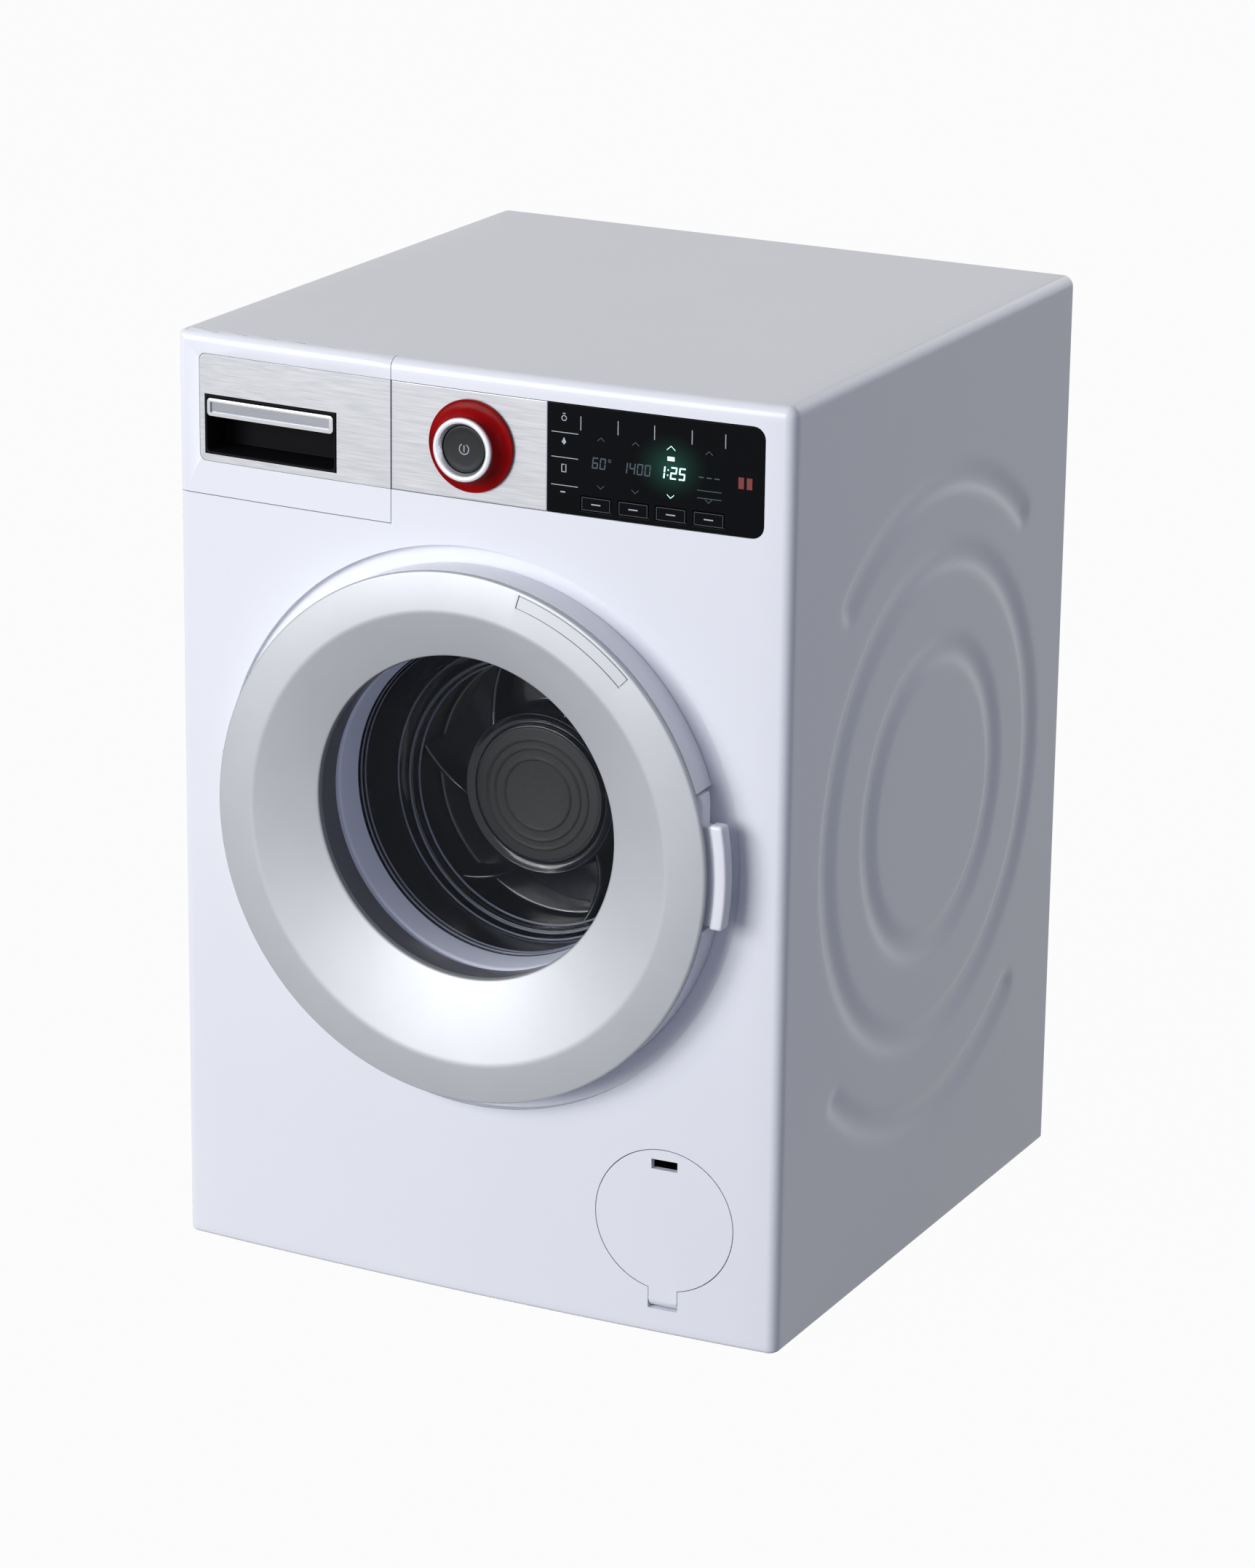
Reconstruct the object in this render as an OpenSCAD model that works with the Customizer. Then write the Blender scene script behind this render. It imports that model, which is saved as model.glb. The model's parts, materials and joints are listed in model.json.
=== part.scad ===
// Toy washing machine, in millimetres, resting on its feet at z = 0, front towards -Y

/* [Casing] */
// Width of the casing
body_w = 182.4; // [176:1:200]
// Depth of the casing at its side walls
body_d = 180.2; // [170:1:220]
// Height from the floor to the top
body_h = 260; // [256:1:290]
// Wall thickness of the casing
wall = 2.6; // [2.2:0.1:3.2]
// How far the middle of the front bulges past its corners
crown = 2.6; // [1.8:0.1:3.4]
// Rounding of the casing's long edges
edge_r = 3; // [1.5:0.5:4]
// Rounding of the front's bottom edge
low_edge_r = 1.5; // [0.5:0.5:2.5]
// Height of the feet below the casing
foot_h = 1; // [0.6:0.1:3]
// Diameter of a foot
foot_d = 16; // [10:1:20]
// Distance of the feet from the casing's sides
foot_inset = 20; // [14:1:30]

/* [Side grooves] */
// Centre height of the ring grooves
groove_z = 131; // [120:1:140]
// Distance of the groove centre behind the front corners
groove_back = 93; // [85:1:100]
// Width of a groove at the surface
groove_w = 9.6; // [7:0.2:11]
// Depth of a groove
groove_depth = 1.2; // [0.6:0.1:1.6]
// Middle radius of the inner ring groove
groove_r_in = 41.5; // [36:0.5:46]
// Middle radius of the outer ring groove
groove_r_out = 67.2; // [60:0.5:72]
// Middle radius of the upper arc groove
arc_r_top = 88.5; // [84:0.5:92]
// Middle radius of the lower arc groove
arc_r_low = 91; // [86:0.5:95]
// Angle where the upper arc groove starts
arc_top_from = 50; // [30:1:60]
// Angle that the upper arc groove spans
arc_top_turn = 80; // [60:1:100]
// Angle where the lower arc groove starts
arc_low_from = -128; // [-140:1:-110]
// Angle that the lower arc groove spans
arc_low_turn = 78; // [60:1:100]

/* [Door] */
// Door axis to the right of the casing's middle
door_x = 0.8; // [-3:0.1:3]
// Height of the door axis
door_z = 134.6; // [130:0.2:138]
// Outer radius of the door at its front rim
door_r = 73.1; // [70:0.1:75]
// Outer radius of the door at its back
door_back_r = 72.6; // [69:0.1:74.5]
// Radius of the round seat pressed into the front
recess_r = 77.8; // [76:0.1:80]
// Height of the door's rim in front of the seat
rim_h = 12; // [11:0.1:14]
// Radius of the crease, which is the foremost ring of the door
crease_r = 62.2; // [58:0.1:65]
// Height of the crease in front of the seat
crease_h = 13.1; // [12.6:0.1:15]
// Radius of the window
window_r = 44.5; // [40:0.1:45]
// Height of the window edge in front of the seat
window_h = 8; // [7:0.1:9]
// Height of the window's centre above the door axis
window_rise = 4.8; // [0:0.1:6]
// Thickness of the door's front ring
ring_t = 1.8; // [1.4:0.1:2.2]
// Thickness of the door's collar round the window
collar_t = 1.4; // [1:0.1:1.8]
// How far the collar reaches behind the seat
collar_reach = 4; // [3:0.1:5]
// Thickness of the window pane
pane_t = 1.6; // [1:0.1:2]
// Inner radius of the label groove on the upper right of the door
label_r = 68.8; // [66:0.1:69]

/* [Handle and hinge] */
// Height of the handle bar
handle_len = 28.4; // [24:0.4:34]
// Middle of the handle bar above the door axis
handle_rise = 0.9; // [-3:0.1:3]
// Outer radius of the handle bar about the door axis
handle_r = 77.9; // [77:0.1:80]
// Front-to-back depth of the handle bar
handle_d = 4.3; // [3.6:0.1:5]
// Distance of the hinge pin from the door axis
hinge_r = 72.3; // [71:0.1:73]
// Height of the hinge pin in front of the seat
hinge_h = 7; // [6:0.1:8]
// Diameter of the door's hinge pin
hinge_pin_d = 2; // [1.6:0.1:2.4]
// Diameter of the handle's pin
handle_pin_d = 1.8; // [1.4:0.1:2]

/* [Control panel] */
// Distance of the panel strip's bottom below the casing's top
panel_bottom_drop = 35.1; // [34:0.1:38]
// Distance of the panel strip's top below the casing's top
panel_top_drop = 5.9; // [5:0.1:8]
// Distance of the drawer's inlay from the casing's left side
inlay_inset = 7.3; // [6:0.1:8]
// Seam between the drawer and the fascia plate
drawer_seam = -24.4; // [-28:0.1:-22]
// Seam between the fascia plate and the display window
display_left = 22; // [20:0.1:26]
// Distance of the display window from the casing's right side
display_inset = 8; // [6:0.1:11]
// Thickness of the inlays and the display window
inlay_t = 1; // [0.6:0.1:1.2]
// Corner radius of the display window
display_r = 3.3; // [1:0.1:5]
// Number of keys
key_count = 4; // [4:1:4]
// Middle of the first key
key_first = 36.1; // [34:0.1:38]
// Distance between two keys
key_pitch = 10.6; // [10:0.1:11.4]
// Width of a key
key_w = 8.6; // [7:0.1:9]
// Height of a key
key_h = 3.9; // [3:0.1:4.4]
// Distance of the keys' middle below the casing's top
key_drop = 31.7; // [30:0.1:32]
// Travel of a key
key_travel = 0.8; // [0.4:0.1:0.9]

/* [Knob] */
// Distance of the knob axis below the casing's top
knob_drop = 20.4; // [19:0.1:22]
// Radius of the red skirt at the panel
skirt_r = 12.4; // [11:0.1:13]
// Radius of the silver bezel
bezel_r = 8.5; // [8:0.1:9]
// How far the knob stands in front of the panel
knob_h = 6; // [5:0.1:7]
// Radius of the power button
button_r = 6.2; // [5.6:0.1:6.4]
// Travel of the power button
button_travel = 1.2; // [0.6:0.1:1.3]

/* [Drawer] */
// Distance of the drawer front's bottom edge below the casing's top
drawer_drop = 44.3; // [43:0.1:46]
// Thickness of the drawer front
drawer_front_t = 3.6; // [3:0.1:4]
// Depth of the drawer tray behind the casing's front corners
tray_depth = 73; // [60:1:80]
// Travel of the drawer
drawer_travel = 55; // [40:1:60]
// Wall thickness of the tray and its housing
tray_wall = 1.6; // [1.2:0.1:2]
// Distance of the finger cup from the casing's left side
cup_inset = 9; // [8:0.1:10]
// Right end of the finger cup
cup_right = -41; // [-44:0.1:-38]
// Distance of the finger cup's bottom below the casing's top
cup_bottom_drop = 33.05; // [32:0.05:34]
// Distance of the finger cup's top below the casing's top
cup_top_drop = 16.9; // [16:0.1:18]
// Depth of the finger cup
cup_depth = 10.5; // [9:0.1:11]
// Height of the chrome strip across the cup
strip_h = 5.8; // [5:0.1:6.4]

/* [Service flap] */
// Middle of the flap
flap_x = 58.3; // [56:0.1:60]
// Height of the flap's middle
flap_z = 34.2; // [34:0.1:36]
// Radius of the flap
flap_r = 20; // [18:0.1:20.5]
// Thickness of the flap
flap_t = 1.8; // [1.4:0.1:2]
// Width of the flap's hinge tab
tab_w = 8.3; // [7:0.1:9]
// Height of the flap's hinge pin
flap_pin_z = 10.9; // [10.5:0.1:11.5]
// Radius of the flap's hinge barrel
barrel_r = 2.1; // [1.8:0.1:2.2]

/* [Tub and wheel] */
// Radius of the tub's mouth
mouth_r = 44.2; // [42:0.1:44.4]
// Wall thickness of the tub
tub_wall = 2.2; // [1.8:0.1:2.6]
// Depth of the tub's throat behind the door seat
throat_depth = 31; // [29:0.5:33]
// Depth of the tub's floor behind the door seat
tub_depth = 52; // [50:0.5:56]
// Outer radius of the wheel
wheel_r = 39.4; // [38:0.1:39.4]
// Radius of the wheel's hub
hub_r = 19.5; // [17:0.1:21]
// Depth of the hub's face behind the door seat
hub_depth = 33.6; // [32:0.1:36]
// Number of curved fins on the wheel
fin_count = 6; // [4:1:8]
// Diameter of the wheel shaft
shaft_d = 6; // [5:0.1:6.4]

/* [Drive] */
// Gear module
gear_m = 1; // [0.9:0.05:1]
// Teeth of the wheel gear
wheel_teeth = 48; // [48:1:48]
// Teeth of the idler's small gear
idler_small = 12; // [12:1:12]
// Teeth of the idler's large gear
idler_large = 40; // [40:1:40]
// Teeth of the motor pinion
pinion_teeth = 10; // [10:1:10]
// Radius of the motor
motor_r = 12; // [10:0.5:12.5]
// Length of the motor
motor_len = 28; // [24:1:34]

/* [Battery box] */
// Number of cells
cell_count = 4; // [3:1:4]
// Diameter of a cell
cell_d = 14.5; // [14:0.1:14.6]
// Length of a cell
cell_len = 50.5; // [50:0.1:51]
// Height of the battery box's middle
battery_z = 62; // [55:1:80]

/* [Hidden] */
$fn = 96;
fine = 180;

// Clearances
seam_gap = 0.25;
run_gap = 0.05;
fit_gap = 0.02;
part_gap = 0.3;
rest_gap = 0.1;

// The flap's thin front lip, which lets it swing out past the casing's edge
flap_lip = 0.4;
flap_step = 0.75;

// The casing's front corners, and the axis of its crowned front
front_y = -(body_d + crease_h) / 2 + crease_h;
back_y = front_y + body_d;
crown_r = (pow(body_w / 2, 2) + crown * crown) / (2 * crown);
crown_y = front_y - crown + crown_r;
crown_fn = 1440;
crown_angle = 14;
side_x = body_w / 2;
inner_x = side_x - wall;
floor_z = foot_h + wall;
roof_z = body_h - wall;
over = 1;

// Height of the crowned front over its corners, at a distance from the middle
function crown_h(x) = crown - crown_r + sqrt(crown_r * crown_r - x * x);

// The door's places
window_z = door_z + window_rise;
cone_h = crease_h - window_h;
collar_out = window_r + 0.6 + collar_t;
porthole_r = collar_out + 1.4;
hinge_x = door_x - hinge_r;
door_floor = 0.3;
frame_t = 1.8;
frame_back_t = 2;
door_boss_ring = 58;
door_boss_r = 3.4;
door_screw_end = 7.4;
door_boss_angles = [30, 150, 210, 330];
knuckle_r = 2.4;
knuckle_half = 8;
lug_t = 4;
lug_z = knuckle_half + part_gap;
bracket_t = 2.4;
bracket_half = 22;
handle_mid = door_z + handle_rise;
handle_low_h = 5.2;
handle_gap = 1.1;
handle_axis_x = door_x + 67.4;
handle_axis_h = 5.6;
handle_barrel = 3.4;
handle_web = 9;
notch_low = handle_mid - handle_len / 2 - 0.6;
notch_high = notch_low + 37;
nose_back = 6.2;
nose_t = 2.2;
nose_swing = 3.6;
strike_t = 1.6;

// The tub's places, as depths behind the door seat
ring_front = collar_reach + 0.8;
ring_back = 13.2;
tub_front = ring_back + 0.2;
flange_t = 2.4;
flange_r = 65;
boss_ring_r = 60.5;
boss_angles = [45, 135, 225, 315];
boss_r = 4;
screw_r = 1.2;
pilot_r = screw_r + fit_gap;
well_r = wheel_r + 0.5;
throat_r = well_r + 1.7;
throat_rise = 1.2;
throat_lean = (window_rise - throat_rise) / (throat_depth - tub_front);
throat_flare = (mouth_r - throat_r) / (throat_depth - tub_front);
wheel_front = throat_depth + 0.8;
wheel_plate = tub_depth - 5;
wheel_plate_t = 2;
rim_t = 1.5;
fin_t = 1.6;
fin_top = 36.5;
tub_back = tub_depth + tub_wall;
pipe_y = 25.5;
pipe_r = 3.2;
pipe_bore = 2.2;
hose_r = 4.2;
hose_bore = pipe_r + rest_gap;
fill_x = -32;
drain_x = 30.8;
drain_bend = 6;
fill_pipe_top = 176;
drain_pipe_low = 93;
cup_deep = 28;

// The drive's places
gear_front = tub_back + 4.4;
gear_t = 5;
layer_gap = 1.5;
idler_front = gear_front + gear_t + layer_gap;
idler_t = 4;
plate_front = idler_front + idler_t + 1;
plate_t = 2.4;
idler_dist = gear_m * (wheel_teeth + idler_small) / 2 + 0.1;
pinion_dist = gear_m * (idler_large + pinion_teeth) / 2 + 0.1;
idler_angle = -60;
pinion_angle = -20;
idler_x = door_x + idler_dist * cos(idler_angle);
idler_z = door_z + idler_dist * sin(idler_angle);
motor_x = idler_x + pinion_dist * cos(pinion_angle);
motor_z = idler_z + pinion_dist * sin(pinion_angle);
post_angles = [50, 150, 228];
post_ring_r = 35;
motor_screw_r = 8.5;
motor_shaft_r = 1;
pin_r = 1.5;

// The panel's places
panel_low = body_h - panel_bottom_drop;
panel_high = body_h - panel_top_drop;
inlay_left = inlay_inset - side_x;
display_right = side_x - display_inset;
key_z = body_h - key_drop;
knob_z = body_h - knob_drop;
board_front = 9;
board_t = 1.6;
board_left = -22;
board_right = side_x - 7.2;
board_low = body_h - 38;
board_high = body_h - 6;
board_holes = [
  [board_left + 5, board_low + 5], [board_left + 5, board_high - 4],
  [board_right - 5, board_low + 12], [board_right - 5, board_high - 4]
];
lamp_low = knob_z - 3.6;
lamp_high = knob_z + 8.4;
lamp_left = display_left + 24;
lamp_right = display_left + 48;
lamp_z = knob_z + 1.4;
lamp_places = [
  [-14, knob_z], [14, knob_z],
  [lamp_left + 6, lamp_z], [lamp_left + 12, lamp_z], [lamp_right - 6, lamp_z]
];
stem_r = 3.4;
switch_r = 7;
fascia_hole = 9.6;
key_back = 5.5;
knob_base = crown + part_gap;
knob_front = crown + knob_h;
bezel_t = 1.6;
button_h = knob_front - 1.5;
button_t = 2;
button_rod_r = 1.5;
rod_back = 7.8;

// The drawer's places
drawer_low = body_h - drawer_drop;
cup_left = cup_inset - side_x;
cup_low = body_h - cup_bottom_drop;
cup_high = body_h - cup_top_drop;
lip_gap = drawer_front_t + seam_gap;
inner_wall_back = lip_gap + wall;
tray_left = 6.2 - side_x;
tray_right = -29;
tray_low = body_h - 39.2;
tray_high = body_h - 10;
tray_gap = 0.4;
bulkhead = cup_depth + 2;
housing_back = tray_depth + 3;
cup_t = 1;
tray_divider = -57;

// The back's places
cover_t = 2.4;
cover_in = back_y - cover_t;
cover_boss = 18;
cover_inset = 16;
cover_points = [
  for (z = [cover_inset, body_h / 2, body_h - cover_inset])
    for (side = [-1, 1]) [side, z]
];
cover_boss_x = inner_x - 3.6;
box_wall = 1.6;
bay_gap = 0.5;
bay_w = cell_count * (cell_d + bay_gap) + bay_gap;
bay_h = cell_len + 8.6;
bay_d = cell_d + 1;
box_w = bay_w + 2 * box_wall;
box_h = bay_h + 2 * box_wall;
cover_lid_w = bay_w + 4;
cover_lid_h = bay_h + 4;
lid_t = 1.4;
speaker_z = body_h - 90;
speaker_r = 20;
speaker_t = 7;
grille_count = 7;
grille_pitch = 4;
screw_head_r = 2.8;
screw_head_t = 1.4;

// Turns a shape drawn in X and Z into one whose height counts forwards from the front corners
module at_front(x, z) {
  translate([x, front_y, z]) rotate([90, 0, 0]) children();
}

// A disc or ring seen from the front, between two heights over the front corners
module disc(r, low, high) {
  translate([0, 0, low]) cylinder(r = r, h = high - low, $fn = fine);
}

module tube(r_out, r_in, low, high) {
  difference() {
    disc(r_out, low, high);
    disc(r_in, low - over, high + over);
  }
}

// A block seen from the front, from its X, Z and height limits
module slab(x0, x1, z0, z1, low, high) {
  translate([x0, z0, low]) cube([x1 - x0, z1 - z0, high - low]);
}

// A rectangle with its own radius at each end
module round_rect(x0, x1, z0, z1, r_left, r_right) {
  mid = (x0 + x1) / 2;
  translate([x0, z0 + r_left]) square([mid - x0, z1 - z0 - 2 * r_left]);
  translate([x0 + r_left, z0]) square([mid - x0 - r_left, z1 - z0]);
  translate([mid, z0 + r_right]) square([x1 - mid, z1 - z0 - 2 * r_right]);
  translate([mid, z0]) square([x1 - mid - r_right, z1 - z0]);
  for (z = [z0 + r_left, z1 - r_left]) translate([x0 + r_left, z]) circle(r_left, $fn = 32);
  for (z = [z0 + r_right, z1 - r_right]) translate([x1 - r_right, z]) circle(r_right, $fn = 32);
}

// Everything behind the crowned front, moved forwards or back
module behind_crown(offset_out) {
  translate([0, crown_y, -over])
    cylinder(r = crown_r + offset_out, h = body_h + 2 * over, $fn = crown_fn);
}

// A skin of the crowned front, between two offsets from it
module crown_skin(out, inside) {
  intersection() {
    difference() {
      behind_crown(out);
      behind_crown(inside);
    }
    children();
  }
}

// A cone whose axis leans, from one circle to a higher one
module leaning_cone(rise0, r0, low, rise1, r1, high) {
  lean = (rise1 - rise0) / (high - low);
  translate([0, rise0, low])
    multmatrix([[1, 0, 0, 0], [0, 1, lean, 0], [0, 0, 1, 0], [0, 0, 0, 1]])
      cylinder(r1 = r0, r2 = r1, h = high - low, $fn = fine);
}

// The casing's outer form, with rounded edges and a crowned front
module casing_outline() {
  corner_y = front_y - crown_h(side_x - edge_r) - 0.02 + edge_r;
  intersection() {
    translate([0, back_y, 0]) rotate([90, 0, 0]) linear_extrude(body_d + 2 * edge_r)
      round_rect(-side_x, side_x, foot_h, body_h, edge_r, edge_r);
    linear_extrude(body_h + over) {
      translate([edge_r - side_x, front_y - 2 * edge_r])
        square([body_w - 2 * edge_r, body_d + 2 * edge_r]);
      translate([-side_x, corner_y]) square([body_w, back_y - corner_y]);
      for (side = [-1, 1]) translate([side * (side_x - edge_r), corner_y]) circle(edge_r, $fn = 48);
    }
    translate([0, crown_y, 0]) rotate([0, 0, -90 - crown_angle / 2])
      rotate_extrude(angle = crown_angle, $fn = crown_fn) crown_profile();
  }
}

module crown_profile() {
  reach = body_d + 4 * edge_r;
  translate([crown_r - reach, foot_h]) square([reach - low_edge_r, low_edge_r + 0.01]);
  translate([crown_r - reach, foot_h + low_edge_r])
    square([reach, body_h - foot_h - low_edge_r - edge_r]);
  translate([crown_r - reach, foot_h + low_edge_r])
    square([reach - edge_r, body_h - foot_h - low_edge_r]);
  translate([crown_r - low_edge_r, foot_h + low_edge_r]) circle(low_edge_r, $fn = 48);
  translate([crown_r - edge_r, body_h - edge_r]) circle(edge_r, $fn = 48);
}

// A round-bottomed groove in a side wall, as a full ring or an arc with round ends
module side_groove(r, from, turn) {
  half = groove_w / 2;
  trough_r = (half * half + groove_depth * groove_depth) / (2 * groove_depth);
  x = side_x + trough_r - groove_depth;
  translate([x, front_y + groove_back, groove_z]) rotate([0, 90, 0]) rotate([0, 0, -90 - from])
    rotate_extrude(angle = -turn, $fn = fine)
      translate([r, 0]) circle(trough_r, $fn = fine);
  if (turn < 360) {
    for (a = [from, from + turn])
      translate([x, front_y + groove_back - r * cos(a), groove_z + r * sin(a)])
        sphere(trough_r, $fn = fine);
  }
}

module side_grooves() {
  side_groove(groove_r_in, 0, 360);
  side_groove(groove_r_out, 0, 360);
  side_groove(arc_r_top, arc_top_from, arc_top_turn);
  side_groove(arc_r_low, arc_low_from, arc_low_turn);
}

module casing_shell() {
  difference() {
    casing_outline();
    intersection() {
      translate([-inner_x, front_y - crown, floor_z])
        cube([2 * inner_x, body_d + 2 * crown, roof_z - floor_z]);
      behind_crown(-wall);
    }
  }
}

// Blocks inside the casing that carry other pieces
module casing_bosses() {
  at_front(door_x, door_z) disc(recess_r + wall, -wall, 0.2);
  at_front(door_x, window_z)
    for (a = boss_angles)
      rotate([0, 0, a]) translate([boss_ring_r, 0, -tub_front]) cylinder(r = boss_r, h = tub_front - 1);
  for (p = board_holes)
    at_front(p[0], p[1]) disc(2.8, -board_front, crown_h(p[0]) - 1.4);
  for (p = cover_points)
    translate([p[0] * cover_boss_x, cover_in - cover_boss, p[1]]) rotate([-90, 0, 0])
      cylinder(r = boss_r, h = cover_boss);
  intersection() {
    casing_outline();
    at_front(0, 0)
      slab(-side_x - over, drawer_seam + seam_gap + wall, drawer_low - seam_gap - wall, body_h + over,
           -inner_wall_back, crown);
  }
  for (side = [-1, 1])
    at_front(flap_x + side * (tab_w / 2 + 0.2 + lug_t / 2), flap_pin_z)
      slab(-lug_t / 2, lug_t / 2, -2.4, 2.4, -3, crown_h(flap_x + tab_w) - 1);
}

// Room for the drawer front at the casing's upper left corner
module drawer_corner() {
  difference() {
    at_front(0, 0)
      slab(-side_x - over, drawer_seam + seam_gap, drawer_low - seam_gap, body_h + over,
        -lip_gap - over, crown + over);
    behind_crown(-lip_gap);
  }
}

module casing_holes() {
  drawer_corner();
  at_front(door_x, door_z) disc(recess_r, 0, crown + over);
  at_front(door_x, window_z) disc(porthole_r, -wall - over, over);
  at_front(0, 0) slab(tray_left - tray_gap, tray_right + tray_gap, tray_low - tray_gap,
                      tray_high + tray_gap, -inner_wall_back - over, over);
  crown_skin(over, -inlay_t)
    at_front(0, 0) {
      slab(drawer_seam - over, display_left, panel_low - rest_gap, panel_high + rest_gap, -over,
        crown + over);
      translate([0, 0, -2 * over]) linear_extrude(crown + 4 * over)
        round_rect(display_left - over, display_right + rest_gap, panel_low - rest_gap,
                   panel_high + rest_gap, 1, display_r);
    }
  at_front(0, knob_z) disc(fascia_hole, -wall - over, crown + over);
  for (i = [0 : key_count - 1])
    at_front(key_first + i * key_pitch, key_z)
      slab(-key_w / 2, key_w / 2, -key_h / 2, key_h / 2, -wall - over, crown + over);
  at_front(0, 0) slab(lamp_left, lamp_right, lamp_low, lamp_high, -wall - over, crown + over);
  at_front(door_x, window_z)
    for (a = boss_angles)
      rotate([0, 0, a]) translate([boss_ring_r, 0, -tub_front - over]) cylinder(r = pilot_r, h = 9);
  for (p = board_holes) at_front(p[0], p[1]) disc(pilot_r, -board_front - over, -board_front + 7);
  for (p = cover_points)
    translate([p[0] * cover_boss_x, cover_in - 14, p[1]]) rotate([-90, 0, 0])
      cylinder(r = pilot_r, h = 14 + over);
  hinge_slots(0.4);
  at_front(handle_axis_x, door_z)
    slab(-nose_t - 1.2, nose_t / 2 + nose_swing, -8, 8, -wall - over, over);
  at_front(flap_x, flap_z) disc(flap_r + seam_gap, -wall - over, crown + over);
  at_front(flap_x, 0)
    slab(-tab_w / 2 - 0.2, tab_w / 2 + 0.2, flap_pin_z - barrel_r - 0.3, flap_z - flap_r + 3, -4,
      crown + over);
  flap_axis() cylinder(r = 0.9 + run_gap, h = tab_w + 5, center = true, $fn = 48);
  for (x = [-1, 1]) for (y = [0, 1])
    translate([x * (side_x - foot_inset), front_y + foot_inset + y * (body_d - 2 * foot_inset), 0])
      cylinder(r = 3 + fit_gap, h = floor_z + over);
}

module flap_axis() {
  at_front(flap_x, flap_pin_z) translate([0, 0, crown_h(flap_x) - barrel_r]) rotate([0, 90, 0])
    children();
}

// Slots in the door seat for the hinge lugs
module hinge_slots(gap) {
  for (side = [-1, 1])
    at_front(hinge_x, door_z + side * (lug_z + lug_t / 2))
      slab(-knuckle_r - gap, knuckle_r + gap, -lug_t / 2 - gap, lug_t / 2 + gap, -wall - over,
        crown + over);
}

module casing() {
  color("whitesmoke") difference() {
    union() {
      casing_shell();
      casing_bosses();
    }
    casing_holes();
    side_grooves();
    mirror([1, 0, 0]) side_grooves();
  }
}

module feet() {
  color("dimgray")
    for (x = [-1, 1]) for (y = [0, 1])
      translate([x * (side_x - foot_inset), front_y + foot_inset + y * (body_d - 2 * foot_inset), 0]) {
        cylinder(d = foot_d, h = foot_h);
        cylinder(r = 3, h = floor_z);
        translate([0, 0, floor_z + fit_gap]) cylinder(r1 = 4, r2 = 3, h = 1.6);
        cylinder(r = 2.4, h = floor_z + 1);
      }
}

// The back
module cover_place() {
  translate([0, back_y, 0]) rotate([90, 0, 0]) children();
}

module back_cover() {
  gap = 0.2;
  color("gainsboro") cover_place() difference() {
    union() {
      slab(-inner_x + gap, inner_x - gap, floor_z + gap, roof_z - gap, 0, cover_t);
      translate([0, speaker_z, 0]) tube(speaker_r + 2.4, speaker_r + 0.2, cover_t - 0.2, cover_t + 5);
    }
    slab(-bay_w / 2, bay_w / 2, battery_z - bay_h / 2, battery_z + bay_h / 2, -over, cover_t + over);
    slab(-cover_lid_w / 2, cover_lid_w / 2, battery_z - cover_lid_h / 2, battery_z + cover_lid_h / 2,
         -over, lid_t);
    for (i = [0 : grille_count - 1]) {
      z = (i - (grille_count - 1) / 2) * grille_pitch;
      half = sqrt(pow(speaker_r - 3, 2) - z * z);
      translate([0, speaker_z, 0]) slab(-half, half, z - 0.8, z + 0.8, -over, cover_t + over);
    }
    for (p = cover_points)
      translate([p[0] * cover_boss_x, p[1], 0]) {
        disc(screw_r + 0.2, -over, cover_t + over);
        disc(screw_head_r + 0.2, -over, screw_head_t + rest_gap);
      }
    translate([0, battery_z + bay_h / 2 + 4.5, 0]) disc(pilot_r, -over, cover_t + 6);
  }
}

module screw(x, z, head_back, length) {
  translate([x, z, head_back]) {
    cylinder(r = screw_head_r, h = screw_head_t);
    cylinder(r = screw_r, h = screw_head_t + length);
  }
}

module back_screws() {
  color("silver") cover_place() {
    for (p = cover_points) screw(p[0] * cover_boss_x, p[1], fit_gap, 12);
  }
}

module battery_cover() {
  gap = 0.2;
  color("gainsboro") cover_place() difference() {
    union() {
      slab(-cover_lid_w / 2 + gap, cover_lid_w / 2 - gap, battery_z - cover_lid_h / 2 + gap,
           battery_z + cover_lid_h / 2 - gap, 0, lid_t - rest_gap);
      for (side = [-1, 1])
        slab(side * 16 - 5, side * 16 + 5, battery_z - bay_h / 2 + 0.4, battery_z - bay_h / 2 + 2,
          0, cover_t + 1.2);
    }
    for (i = [-1, 0, 1])
      slab(-10, 10, battery_z + 18 + i * 2 - 0.5, battery_z + 18 + i * 2 + 0.5, -over, 0.4);
  }
}

module battery_box() {
  base = cover_t + rest_gap;
  color("gainsboro") cover_place() difference() {
    slab(-box_w / 2, box_w / 2, battery_z - box_h / 2, battery_z + box_h / 2, base,
      base + bay_d + box_wall);
    slab(-bay_w / 2, bay_w / 2, battery_z - bay_h / 2, battery_z + bay_h / 2, 0, base + bay_d);
  }
}

function cell_x(i) = (i - (cell_count - 1) / 2) * (cell_d + bay_gap);

module battery_cells() {
  low = battery_z - cell_len / 2 - 0.6;
  color("goldenrod") cover_place()
    for (i = [0 : cell_count - 1])
      translate([cell_x(i), low, cover_t + 0.8 + cell_d / 2]) rotate([-90, 0, 0]) {
        cylinder(d = cell_d, h = cell_len - 1);
        cylinder(r = 2.6, h = cell_len);
      }
}

module battery_contacts() {
  end_low = battery_z - bay_h / 2;
  end_high = battery_z + bay_h / 2;
  mid = cover_t + 0.8 + cell_d / 2;
  color("silver") cover_place() {
    for (i = [0 : cell_count - 1]) {
      slab(cell_x(i) - 5, cell_x(i) + 5, end_low + 0.05, end_low + 0.5, mid - 5, mid + 5);
      slab(cell_x(i) - 5, cell_x(i) + 5, end_high - 0.5, end_high - 0.05, mid - 5, mid + 5);
      translate([cell_x(i), end_low + 0.5, mid]) rotate([-90, 0, 0])
        coil(3.4, 0.35, 2, 1.15);
    }
  }
}

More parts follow.
